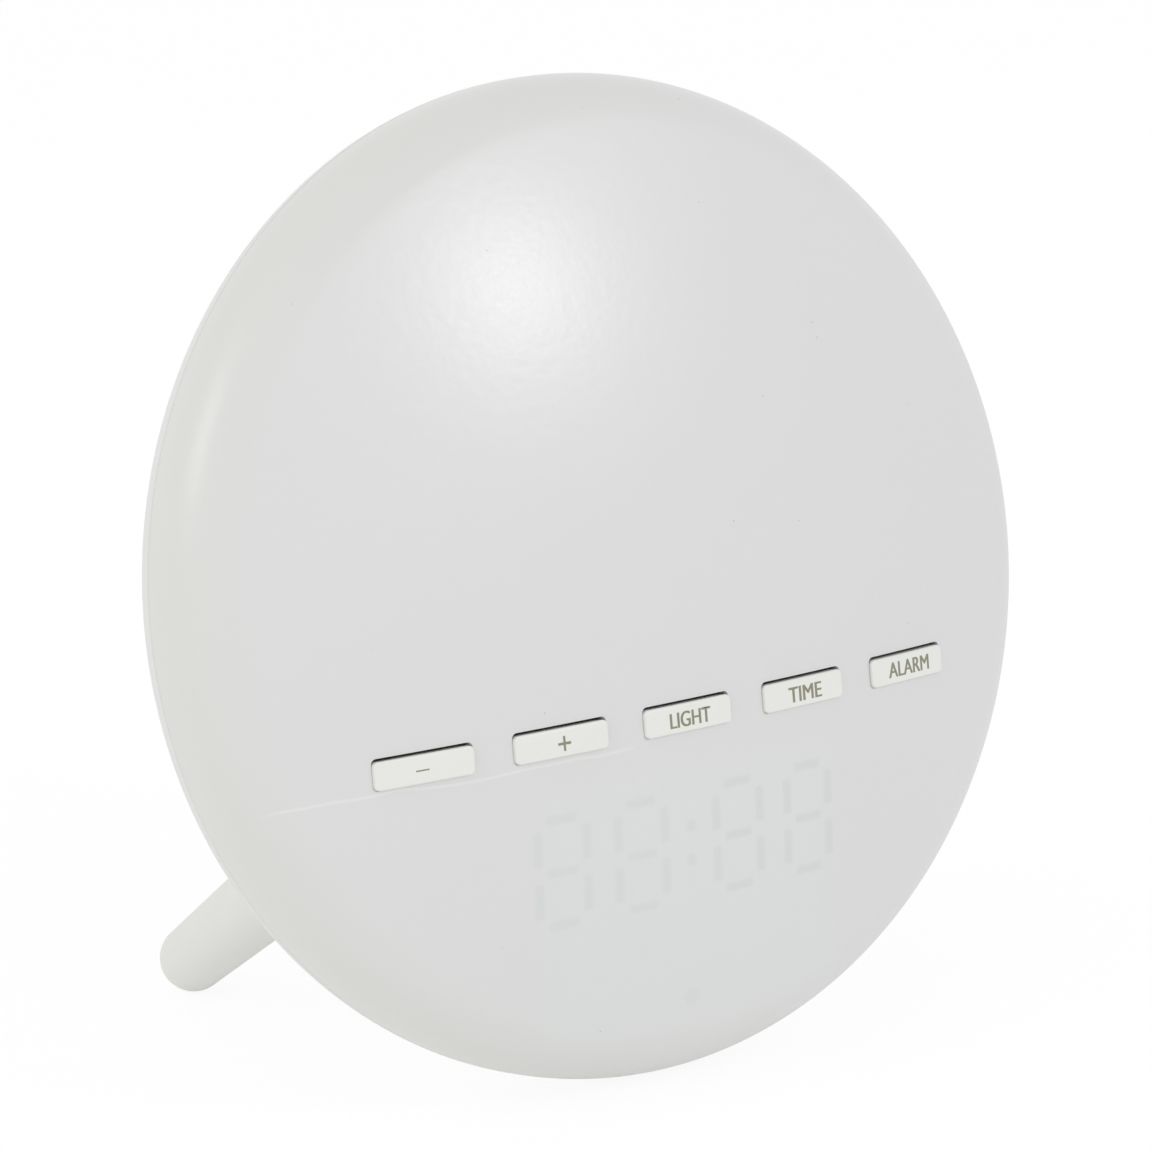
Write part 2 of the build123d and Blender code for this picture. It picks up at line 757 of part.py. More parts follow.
def bar(start, end):
    # One segment: a straight bar with pointed ends, leaning with the digit
    half = segment_width / 2
    across = (end[0] - start[0], end[1] - start[1])
    length = hypot(*across)
    along = (across[0] / length, across[1] / length)
    side = (-along[1] * half, along[0] * half)
    inner_start = towards(start, end, segment_gap + half)
    inner_end = towards(end, start, segment_gap + half)
    corners = [
        towards(start, end, segment_gap),
        (inner_start[0] + side[0], inner_start[1] + side[1]),
        (inner_end[0] + side[0], inner_end[1] + side[1]),
        towards(end, start, segment_gap),
        (inner_end[0] - side[0], inner_end[1] - side[1]),
        (inner_start[0] - side[0], inner_start[1] - side[1]),
    ]
    slope = tan(radians(digit_slant))
    return make_face(Polyline(*[(x + z * slope, z) for x, z in corners], close=True))


def segment_faces():
    right = (digit_width - segment_width) / 2
    top = (digit_height - segment_width) / 2
    ends = [((-right, level), (right, level)) for level in (-top, 0, top)]
    ends += [((side, 0), (side, level)) for side in (-right, right) for level in (-top, top)]
    inner = digit_middle_pitch / 2
    middles = (-inner - digit_pitch, -inner, inner, inner + digit_pitch)
    faces = [(middle, bar(start, end)) for middle in middles for start, end in ends]
    slope = tan(radians(digit_slant))
    for level in (-colon_pitch / 2, colon_pitch / 2):
        faces.append((level * slope, Pos(0, level) * Circle(colon_dot_diameter / 2)))
    return faces


def make_display_segments():
    front = board_front - display_depth
    back = front + segment_depth
    return [prism(x, digit_row_height, face, front, back) for x, face in segment_faces()]


def make_display_case(segments):
    case = display_box(0, board_front - display_depth, board_front)
    return case - segments


def display_pin_places():
    row = digit_height / 2 + display_margin - display_pin_inset
    first = -(display_pins_per_row - 1) / 2 * display_pin_pitch
    return [
        (first + place * display_pin_pitch, digit_row_height + level)
        for level in (-row, row)
        for place in range(display_pins_per_row)
    ]


def make_display_pins():
    end = board_back + display_pin_length
    return group(rod(x, z, display_pin_diameter, board_front, end) for x, z in display_pin_places())


def make_display_shroud():
    outer = display_box(shroud_gap + shroud_wall, in_front, board_front)
    inner = display_box(shroud_gap, in_front, board_front)
    return (outer - inner) & front_form(shell_wall + shroud_dome_gap)


# Lamp


def led_places():
    places = []
    for arc, count in enumerate(led_counts):
        radius = board_radius - led_edge - arc * led_arc_pitch
        step = led_arc_sweep / (count - 1)
        places += [on_circle(radius, led_arc_start + place * step) for place in range(count)]
    return places


def make_lamp_leds():
    front = board_front - led_height
    across, up = led_width / 2, led_length / 2
    return group(
        block(x - across, x + across, front, board_front, z - up, z + up) for x, z in led_places()
    )


def make_lamp_reflector():
    sheet = rod(0, 0, 2 * board_radius, reflector_front, board_front)
    sheet &= block(-board_radius, board_radius, reflector_front, board_front, baffle_bottom, board_radius)
    for x, z in led_places():
        sheet -= rod(x, z, reflector_hole_diameter, reflector_front, board_front)
    for x, z in lamp_screw_places:
        sheet -= rod(x, z, screw_pass_hole, reflector_front, board_front)
    # The wall that keeps the lamp's light out of the lower half
    across = sqrt(board_radius**2 - baffle_bottom**2)
    baffle = block(-across, across, in_front, board_front, baffle_bottom, baffle_top)
    return sheet + (baffle & front_form(shell_wall + shroud_dome_gap))


# Loudspeaker


def turned(points):
    # An outline of distance from the axis and Y, turned about the loudspeaker's axis
    return Pos(0, 0, speaker_height) * revolve(make_face(Polyline(*points, close=True)), Axis.Y)


def make_speaker_frame():
    rim = speaker_diameter / 2
    base = speaker_basket_diameter / 2
    wall = speaker_basket_wall
    frame = turned(
        [
            (rim, speaker_flange_back),
            (rim, speaker_flange_front),
            (speaker_open_radius + wall, speaker_flange_front),
            (base + wall, speaker_basket_front),
            (0, speaker_basket_front),
            (0, speaker_basket_front + wall),
            (base, speaker_basket_front + wall),
            (speaker_open_radius, speaker_flange_front),
            (speaker_open_radius, speaker_flange_back),
        ]
    )
    half = speaker_lug_width / 2
    lug_bottom = speaker_lug_top - speaker_lug_length
    return frame + block(
        -half, half, speaker_lug_front, speaker_basket_front, lug_bottom, speaker_lug_top
    )


def make_speaker_cone():
    back = speaker_flange_back - speaker_cone_wall
    deep = back - speaker_cone_depth
    path = [
        (speaker_open_radius, back),
        (speaker_dome_diameter / 2, deep),
        (0, deep + speaker_dome_rise),
    ]
    under = [(radius, y - speaker_cone_wall) for radius, y in reversed(path)]
    return turned(path + under)


def make_speaker_magnet():
    front = speaker_basket_front - speaker_magnet_depth
    return rod(0, speaker_height, speaker_magnet_diameter, front, speaker_basket_front)


def make_speaker_gasket():
    ring = rod(0, speaker_height, speaker_diameter, speaker_flange_back, inner_back)
    return ring - rod(0, speaker_height, 2 * speaker_open_radius, speaker_flange_back, inner_back)


# Backup cell


def door_tongue_places():
    return (cell_x - door_tongue_pitch / 2, cell_x + door_tongue_pitch / 2)


def tongue(x, gap, front):
    half = door_tongue_width / 2 + gap
    reach = door_tongue_length + gap
    return block(x - half, x + half, front, door_inner, door_top - reach, door_top + reach)


def make_battery_door():
    outline = RectangleRounded(door_width, door_height, door_corner)
    door = rounded_end(prism(cell_x, door_z, outline, door_inner, rear_depth), Axis.Y, door_edge)
    for x in door_tongue_places():
        door += tongue(x, 0, door_inner - door_tongue_thickness)
    door -= rod(cell_x, door_screw_z, small_screw_pass_hole, door_inner, rear_depth)
    head = small_screw_head_diameter + 2 * screw_head_gap
    door -= rod(cell_x, door_screw_z, head, door_screw_seat, behind)
    half = door_grip_length / 2
    for row in range(door_grip_count):
        z = cell_z + (row - (door_grip_count - 1) / 2) * door_grip_pitch
        low, high = z - door_grip_width / 2, z + door_grip_width / 2
        door -= block(cell_x - half, cell_x + half, rear_depth - door_grip_depth, behind, low, high)
    return door


def make_battery_door_screw():
    return small_screw((cell_x, door_screw_seat, door_screw_z), (0, 1, 0), door_screw_length)


def minus_tail(gap):
    # The end of the minus contact that runs through the floor of the well
    x = cell_x - contact_length / 2
    half = contact_tail_width / 2 + gap
    high = x + contact_thickness + gap
    return block(x - gap, high, contact_end - gap, well_floor, cell_z - half, cell_z + half)


def make_cell_contact_minus():
    left, right = cell_x - contact_length / 2, cell_x + contact_length / 2
    top = cell_front - contact_thickness
    path = [(left, well_floor), (left + contact_foot, well_floor)]
    path += [(left + contact_foot + contact_rise, top), (right, top)]
    over_path = [(x, y + contact_thickness) for x, y in reversed(path)]
    face = make_face(Polyline(*path, *over_path, close=True))
    strip = Pos(0, 0, cell_z - contact_width / 2) * extrude(face, contact_width)
    return strip + minus_tail(0)


def plus_strip(gap):
    # The strip that stands beside the cell and runs through the floor of the well
    x = cell_x + cell_diameter / 2
    half = contact_width / 2 + gap
    high = x + contact_thickness + gap
    return block(x - gap, high, contact_end - gap, cell_back, cell_z - half, cell_z + half)


# Power inlet


def make_dc_jack():
    jack = rod(jack_x, jack_z, jack_barrel_diameter, jack_front, rear_depth)
    flange = rod(jack_x, jack_z, jack_flange_diameter, rear_depth, jack_mouth)
    jack += rounded_end(flange, Axis.Y, jack_flange_edge)
    jack -= rod(jack_x, jack_z, jack_bore_diameter, jack_mouth - jack_bore_depth, behind)
    return jack - jack_pin() - jack_spring()


def jack_pin():
    return rod(jack_x, jack_z, jack_pin_diameter, jack_front - jack_tail, jack_mouth - jack_pin_recess)


def jack_spring():
    # The side contact, let into the wall of the bore
    x = jack_x + jack_bore_diameter / 2
    half = jack_spring_width / 2
    front, back = jack_front - jack_tail, rear_depth
    return block(x, x + jack_spring_thickness, front, back, jack_z - half, jack_z + half)


def make_dc_jack_nut():
    outline = RegularPolygon(jack_nut_flats / 2, jack_nut_sides, major_radius=False)
    nut = prism(jack_x, jack_z, outline, inner_back - jack_nut_thickness, inner_back)
    return nut - rod(jack_x, jack_z, jack_barrel_diameter + 2 * jack_gap, 0, behind)


# Electronics on the back of the boards


def on_back(place, size):
    # A box with its front on the back of a board: size is across, off the board, and up
    x, z = place
    across, off, up = size
    return block(x - across / 2, x + across / 2, board_back, board_back + off, z - up / 2, z + up / 2)


def make_capacitors():
    end = board_back + capacitor_height
    return group(rod(x, z, capacitor_diameter, board_back, end) for x, z in capacitor_places)


def make_board_headers():
    places = (speaker_header, main_lamp_header, lamp_header, cell_header, power_header)
    return group(on_back(place, header_size) for place in places)


def lead(*points):
    # A wire along straight runs joined by arcs
    radii = []
    for before, corner, after in zip(points, points[1:], points[2:]):
        turn = (Vector(corner) - Vector(before)).get_angle(Vector(after) - Vector(corner))
        run = min(dist(before, corner), dist(corner, after))
        radii.append(lead_bend_share * run / tan(radians(turn) / 2))
    route = FilletPolyline(*points, radius=radii)
    start = Plane(origin=points[0], z_dir=Vector(points[1]) - Vector(points[0]))
    return sweep(start * Circle(lead_diameter / 2), path=route)


def lead_pair(header, ends, between):
    # Two wires from a header to their ends: each rises off the header, passes between
    # the points given for both, and comes straight to its end from the front
    wires = []
    for side, end in zip((-1, 1), ends):
        x = header[0] + side * lead_pitch / 2
        points = [(x, header_back, header[1]), (x, header_back + lead_straight, header[1])]
        points += [(middle + side * lead_pitch / 2, y, z) for middle, y, z in between]
        points += [(end[0], end[1] - lead_straight, end[2]), end]
        wires.append(lead(*points))
    return group(wires)


def make_speaker_leads():
    z = speaker_lug_top - speaker_lug_length / 2
    ends = [(side * lead_pitch / 2, speaker_lug_front, z) for side in (-1, 1)]
    return lead_pair(speaker_header, ends, [])


def make_cell_leads():
    half = contact_thickness / 2
    minus = (cell_x - contact_length / 2 + half, contact_end, cell_z)
    plus = (cell_x + cell_diameter / 2 + half, contact_end, cell_z)
    return lead_pair(cell_header, [minus, plus], [])


def make_power_leads():
    y = jack_front - jack_tail
    pin = (jack_x, y, jack_z)
    spring = (jack_x + (jack_bore_diameter + jack_spring_thickness) / 2, y, jack_z)
    return lead_pair(power_header, [pin, spring], [])


def make_lamp_leads():
    wires = []
    for side in (-1, 1):
        x = main_lamp_header[0] + side * lead_pitch / 2
        low, high = main_lamp_header[1], lamp_header[1]
        away = header_back + lead_straight
        wires.append(lead((x, header_back, low), (x, away, low), (x, away, high), (x, header_back, high)))
    return group(wires)


# The whole clock

segments = make_display_segments()
pieces = {
    "front_diffuser": make_front_diffuser(),
    "rear_cover": make_rear_cover(),
    "left_leg": make_leg(-1),
    "right_leg": make_leg(1),
    "leg_screws": make_leg_screws(),
    "foot_pad": make_foot_pad(),
    "case_screws": group(
        large_screw((x, case_screw_floor, z), (0, 1, 0), case_screw_length) for x, z in case_screw_places
    ),
    "switch_bodies": make_switch_bodies(),
    "key_guide": make_key_guide(),
    "key_guide_screws": make_key_guide_screws(),
    "main_board": make_main_board(),
    "lamp_board": make_lamp_board(),
    "board_screws": make_board_screws(),
    "controller_chip": on_back(chip_place, chip_size),
    "clock_crystal": rod(*crystal_place, crystal_diameter, board_back, board_back + crystal_height),
    "capacitors": make_capacitors(),
    "board_headers": make_board_headers(),
    "display_case": make_display_case(segments),
    "display_segments": group(segments),
    "display_pins": make_display_pins(),
    "display_shroud": make_display_shroud(),
    "lamp_leds": make_lamp_leds(),
    "lamp_reflector": make_lamp_reflector(),
    "speaker_frame": make_speaker_frame(),
    "speaker_cone": make_speaker_cone(),
    "speaker_magnet": make_speaker_magnet(),
    "speaker_gasket": make_speaker_gasket(),
    "coin_cell": rod(cell_x, cell_z, cell_diameter, cell_front, cell_back),
    "cell_contact_minus": make_cell_contact_minus(),
    "cell_contact_plus": plus_strip(0),
    "battery_door": make_battery_door(),
    "battery_door_screw": make_battery_door_screw(),
    "dc_jack": make_dc_jack(),
    "dc_jack_contacts": group([jack_pin(), jack_spring()]),
    "dc_jack_nut": make_dc_jack_nut(),
    "speaker_leads": make_speaker_leads(),
    "cell_leads": make_cell_leads(),
    "power_leads": make_power_leads(),
    "lamp_leads": make_lamp_leads(),
}
for name, x in key_places.items():
    pieces[name + "_key"] = make_key(x)
    pieces[name + "_plunger"] = make_plunger(x)

# Lean the disc back, and put the origin under the middle of the clock
standing = {name: leaning * piece for name, piece in pieces.items()}
whole = Compound(children=[Compound(children=piece.solids()) for piece in standing.values()])
bounds = whole.bounding_box()
middle = Pos(-bounds.center().X, -bounds.center().Y, 0)
print("overall", *[round(side, 2) for side in bounds.size], "leg length", round(leg_length, 2))
print("moved by", round(-bounds.center().Y, 4), "foot at", round(foot_y - bounds.center().Y, 4))

os.makedirs("parts", exist_ok=True)
for name, piece in standing.items():
    solids = (middle * piece).solids()
    export_step(solids[0] if len(solids) == 1 else Compound(children=solids), f"parts/{name}.step")
print(len(standing), "pieces")
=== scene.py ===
import json
from math import asin, cos, degrees, pi, radians, sin
import bpy
from mathutils import Matrix, Vector


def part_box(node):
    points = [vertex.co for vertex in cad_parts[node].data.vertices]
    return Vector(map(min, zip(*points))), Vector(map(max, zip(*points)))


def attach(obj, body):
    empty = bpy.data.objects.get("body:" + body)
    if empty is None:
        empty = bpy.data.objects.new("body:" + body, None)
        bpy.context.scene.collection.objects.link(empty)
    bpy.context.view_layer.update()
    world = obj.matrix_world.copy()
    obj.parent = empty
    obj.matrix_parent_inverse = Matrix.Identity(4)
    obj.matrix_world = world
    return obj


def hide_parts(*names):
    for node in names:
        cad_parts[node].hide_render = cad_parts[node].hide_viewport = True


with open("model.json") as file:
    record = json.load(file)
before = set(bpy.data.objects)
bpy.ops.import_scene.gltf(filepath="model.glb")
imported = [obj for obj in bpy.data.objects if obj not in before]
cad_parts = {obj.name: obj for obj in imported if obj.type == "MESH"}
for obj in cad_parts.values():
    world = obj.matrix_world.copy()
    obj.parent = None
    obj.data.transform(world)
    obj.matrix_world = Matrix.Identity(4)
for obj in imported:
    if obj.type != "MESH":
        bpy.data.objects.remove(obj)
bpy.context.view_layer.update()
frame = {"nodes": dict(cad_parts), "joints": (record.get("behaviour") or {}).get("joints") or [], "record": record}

mm = 0.001  # every object is in metres, and sizes here are written in millimetres
smoothAngle = radians(32)  # edges that bend by less are shaded smooth
keyNames = ("minus", "plus", "light", "time", "alarm")
bpy.ops.object.select_all(action="DESELECT")
print("frame loaded,", len(frame["nodes"]), "nodes")

# The clock's body leans back, so its parts are made upright, around the middle of the seam
# between its shells, and are then put in place by discPlace.
disc = {
    "radius": 85.0,
    "domeRadius": 257.0,
    "domeCentre": 231.604,  # behind the seam
    "rimRounding": 12.5,
    "rimDepth": 1.9,  # straight side between the rounding and the seam
    "wall": 2.0,
    "seamGroove": 0.3,
    "weld": 0.002,  # points that lie closer are one
}
pressAxis = frame["joints"][0]["axis"]
lean = asin(-pressAxis[2])
frontLow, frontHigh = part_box("front_diffuser")
seamHeight = frontLow.z + (disc["radius"] * pressAxis[1] + disc["seamGroove"] * pressAxis[2]) * mm
seamY = frontHigh.y + (disc["radius"] - disc["seamGroove"]) * pressAxis[2] * mm
discPlace = Matrix.Translation((0, seamY, seamHeight)) @ Matrix.Rotation(-lean, 4, "X")
print("seam at", round(seamY, 5), round(seamHeight, 5), "lean", round(degrees(lean), 2))


def linearColour(hexText):
    parts = [int(hexText[place:place + 2], 16) / 255 for place in (1, 3, 5)]
    linear = [part / 12.92 if part <= 0.04045 else ((part + 0.055) / 1.055) ** 2.4 for part in parts]
    return linear + [1.0]


def addNode(material, kind, settings=None, links=None):
    # settings are the node's own choices by name, or its inputs by name or number
    node = material.node_tree.nodes.new("ShaderNode" + kind)
    for name, value in (settings or {}).items():
        if isinstance(name, str) and hasattr(node, name):
            setattr(node, name, value)
        else:
            node.inputs[name].default_value = value
    for name, source in (links or {}).items():
        material.node_tree.links.new(source, node.inputs[name])
    return node


def startMaterial(name):
    material = bpy.data.materials.new(name)
    material.use_nodes = True
    return material, material.node_tree.nodes["Principled BSDF"]


def discCoordinates(material):
    # Object coordinates turned into the upright disc's own, in millimetres
    where = addNode(material, "TexCoord")
    return addNode(
        material, "Mapping",
        {
            "vector_type": "TEXTURE", "Location": (0, seamY, seamHeight),
            "Rotation": (-lean, 0, 0), "Scale": (mm, mm, mm),
        },
        {"Vector": where.outputs["Object"]},
    ).outputs[0]


# What all finishes share
surface = {
    "driftDetail": 3.0,
    "driftShade": 0.98,  # how dark the drift makes a skin whose colour is drawn
    "grainDetail": 2.0,
    "grainRange": (0.3, 0.7),  # of the noise, from the glossiest grain to the dullest
    "reliefStrength": 0.5,
}


def addSurface(material, shader, look, colour=None):
    # Slow drift of the colour, grain in the gloss and a fine relief, all at sizes in millimetres
    where = discCoordinates(material)
    drift = addNode(
        material, "TexNoise",
        {"Scale": 1 / look["driftSize"], "Detail": surface["driftDetail"]}, {"Vector": where},
    )
    if colour:
        darker = [surface["driftShade"]] * 3 + [1.0]
        shade = addNode(
            material, "Mix", {"data_type": "RGBA", "blend_type": "MULTIPLY", 7: darker}, {6: colour},
        )
    else:
        ends = {6: linearColour(look["colour"]), 7: linearColour(look["shade"])}
        shade = addNode(material, "Mix", {"data_type": "RGBA", **ends})
    material.node_tree.links.new(drift.outputs[0], shade.inputs[0])
    grain = addNode(
        material, "TexNoise",
        {"Scale": 1 / look["grainSize"], "Detail": surface["grainDetail"]}, {"Vector": where},
    )
    (low, high), (glossy, dull) = surface["grainRange"], look["roughness"]
    gloss = addNode(
        material, "MapRange", {"From Min": low, "From Max": high, "To Min": glossy, "To Max": dull},
        {"Value": grain.outputs[0]},
    )
    relief = addNode(
        material, "Bump", {"Strength": surface["reliefStrength"], "Distance": look["relief"] * mm},
        {"Height": grain.outputs[0]},
    )
    if "peel" in look:
        wave = addNode(
            material, "TexNoise", {"Scale": 1 / look["peelSize"], "Detail": 1.0}, {"Vector": where},
        )
        peel = addNode(
            material, "Bump", {"Strength": 1.0, "Distance": look["peel"] * mm}, {"Height": wave.outputs[0]},
        )
        material.node_tree.links.new(peel.outputs[0], relief.inputs["Normal"])
    links = material.node_tree.links
    links.new(shade.outputs[2], shader.inputs["Base Color"])
    links.new(gloss.outputs[0], shader.inputs["Roughness"])
    links.new(relief.outputs[0], shader.inputs["Normal"])
    shader.inputs["Metallic"].default_value = look.get("metallic", 0.0)
    if not look.get("metallic"):
        shader.inputs["IOR"].default_value = look.get("ior", 1.5)
    return shade


def discBox(nodeName):
    # A node's lowest and highest corner in the upright disc's own millimetres
    places = [discPlace.inverted() @ vertex.co / mm for vertex in frame["nodes"][nodeName].data.vertices]
    return [Vector([pick(place[axis] for place in places) for axis in range(3)]) for pick in (min, max)]


def selectOnly(piece):
    bpy.ops.object.select_all(action="DESELECT")
    piece.select_set(True)
    bpy.context.view_layer.objects.active = piece


def spinOutline(name, strokes, around):
    # Draws an outline beside the disc's axis, in millimetres, and spins it round that axis.
    # A line goes to (y, z); an arc turns about (y, z) by so many degrees in so many steps.
    bpy.ops.object.select_all(action="DESELECT")
    bpy.ops.mesh.primitive_plane_add(size=mm)
    piece = bpy.context.object
    piece.name = name
    bpy.ops.object.mode_set(mode="EDIT")
    bpy.ops.mesh.merge(type="CENTER")
    y, z = strokes[0][1:]
    bpy.ops.transform.translate(value=(0, y * mm, z * mm))
    for stroke in strokes[1:]:
        if stroke[0] == "line":
            step = (0, (stroke[1] - y) * mm, (stroke[2] - z) * mm)
            bpy.ops.mesh.extrude_region_move(TRANSFORM_OT_translate={"value": step})
            y, z = stroke[1:]
        else:
            middleY, middleZ, turn, steps = stroke[1:]
            angle = radians(turn)
            middle = (0, middleY * mm, middleZ * mm)
            bpy.ops.mesh.spin(steps=steps, angle=angle, center=middle, axis=(1, 0, 0))
            y, z = y - middleY, z - middleZ
            y, z = middleY + y * cos(angle) + z * sin(angle), middleZ - y * sin(angle) + z * cos(angle)
    bpy.ops.mesh.select_all(action="SELECT")
    bpy.ops.mesh.spin(steps=around, angle=2 * pi, center=(0, 0, 0), axis=(0, 1, 0))
    bpy.ops.mesh.select_all(action="SELECT")
    bpy.ops.mesh.remove_doubles(threshold=disc["weld"] * mm)
    bpy.ops.mesh.normals_make_consistent(inside=False)
    bpy.ops.object.mode_set(mode="OBJECT")
    return piece


def addRods(name, rods, sides):
    # Rods along the disc's axis, joined to one object: x, z, diameter, front and back
    made = []
    bpy.ops.object.select_all(action="DESELECT")
    for x, z, diameter, front, back in rods:
        bpy.ops.mesh.primitive_cylinder_add(
            vertices=sides, radius=diameter / 2 * mm, depth=(back - front) * mm,
            location=(x * mm, (front + back) / 2 * mm, z * mm), rotation=(radians(90), 0, 0),
        )
        made.append(bpy.context.object)
    for piece in made:
        piece.select_set(True)
    bpy.context.view_layer.objects.active = made[0]
    bpy.ops.object.join()
    bpy.ops.object.transform_apply(location=True, rotation=True, scale=True)
    made[0].name = name
    return made[0]


def shapeWith(piece, tool, operation, solver="EXACT"):
    # Joins, cuts or trims a piece with another closed shape, which is used up
    change = piece.modifiers.new(tool.name, "BOOLEAN")
    change.operation = operation
    change.solver = solver
    change.object = tool
    selectOnly(piece)
    bpy.ops.object.modifier_apply(modifier=change.name)
    bpy.data.objects.remove(tool)


def settle(piece, material, body, replaced=()):
    # Puts a piece made upright in its place, with its finish, on the body that carries it
    selectOnly(piece)
    piece.matrix_world = discPlace @ piece.matrix_world
    bpy.ops.object.transform_apply(location=True, rotation=True, scale=True)
    bpy.ops.object.shade_smooth_by_angle(angle=smoothAngle)
    piece.data.materials.clear()
    piece.data.materials.append(material)
    if replaced:
        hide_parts(*replaced)
    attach(piece, body)
    piece.select_set(False)
    print("made", piece.name, len(piece.data.polygons), "faces")


# Front shell: opal polycarbonate, injection moulded against a satin tool. The eye sees an even
# milky white with a broad soft sheen, and the unlit figures behind it as a faint shadow.
opalFront = {
    "name": "opalPolycarbonateMouldedSatin",
    "colour": "#DDDDDD",
    "rimShadeColour": "#DBDCD8",  # painted shade: the left-hand rim is drawn darker and yellower, as where it is shaded
    "rimFrom": 72.0,
    "rimShadeSide": (60.0, -40.0),  # none of it right of the first, all of it left of the second
    "driftSize": 45.0,
    "grainSize": 0.5,  # the satin tool's grain is finer; drawn coarser so that it shows
    "relief": 0.003,
    "peelSize": 2.0,
    "peel": 0.03,  # the skin's slight waviness, which mottles the sheen
    "roughness": (0.28, 0.315),
    "ior": 1.585,
    "coolPatch": "#DCDFDE",  # over the display
    "patchMiddle": (0.7, -54.2),
    "patchHalf": (33.2, 24.2),
    "patchEdge": 9.0,
    "figure": "#D6D9D7",
    "figureRow": -45.3,
    "figureShift": -0.5,
    "pairFaint": 0.7,  # the left-hand pair's share of the painted shadow; the right-hand pair's shows more
    "pairFade": (-12.0, 12.0),
    "pairPitch": 17.45,  # from the middle to a pair of figures
    "figurePitch": 7.6,  # from a pair's middle to a figure's
    # Each bar of a figure: middle and half size across, then up and down
    "bars": ((4.6, 0.4, 4.35, 2.5), (0.0, 2.3, 0.0, 0.25), (0.0, 2.3, 8.9, 0.3)),
    "barEdge": 0.85,
    "colonMiddle": (-0.5, -45.1),
    "colonHalf": 2.9,
    "colonRadius": 0.55,
    "spotMiddle": (-0.5, -71.55),  # a faint round shadow below the figures
    "spotRadius": 1.2,
    "spotStrength": 0.6,
    "knitLine": "#E4E4E3",
    "knitFrom": -77.6,
    "knitTo": -8.8,
    "knitHeight": -27.0,
    "knitHalf": 0.22,
    "knitFade": 6.0,  # at its ends
    "knitWave": 1.6,  # how far it strays, and over what length
    "knitWaveSize": 16.0,
    "speck": "#C4C4C0",
    "speckPitch": 7.0,
    "speckRadius": 0.22,
}


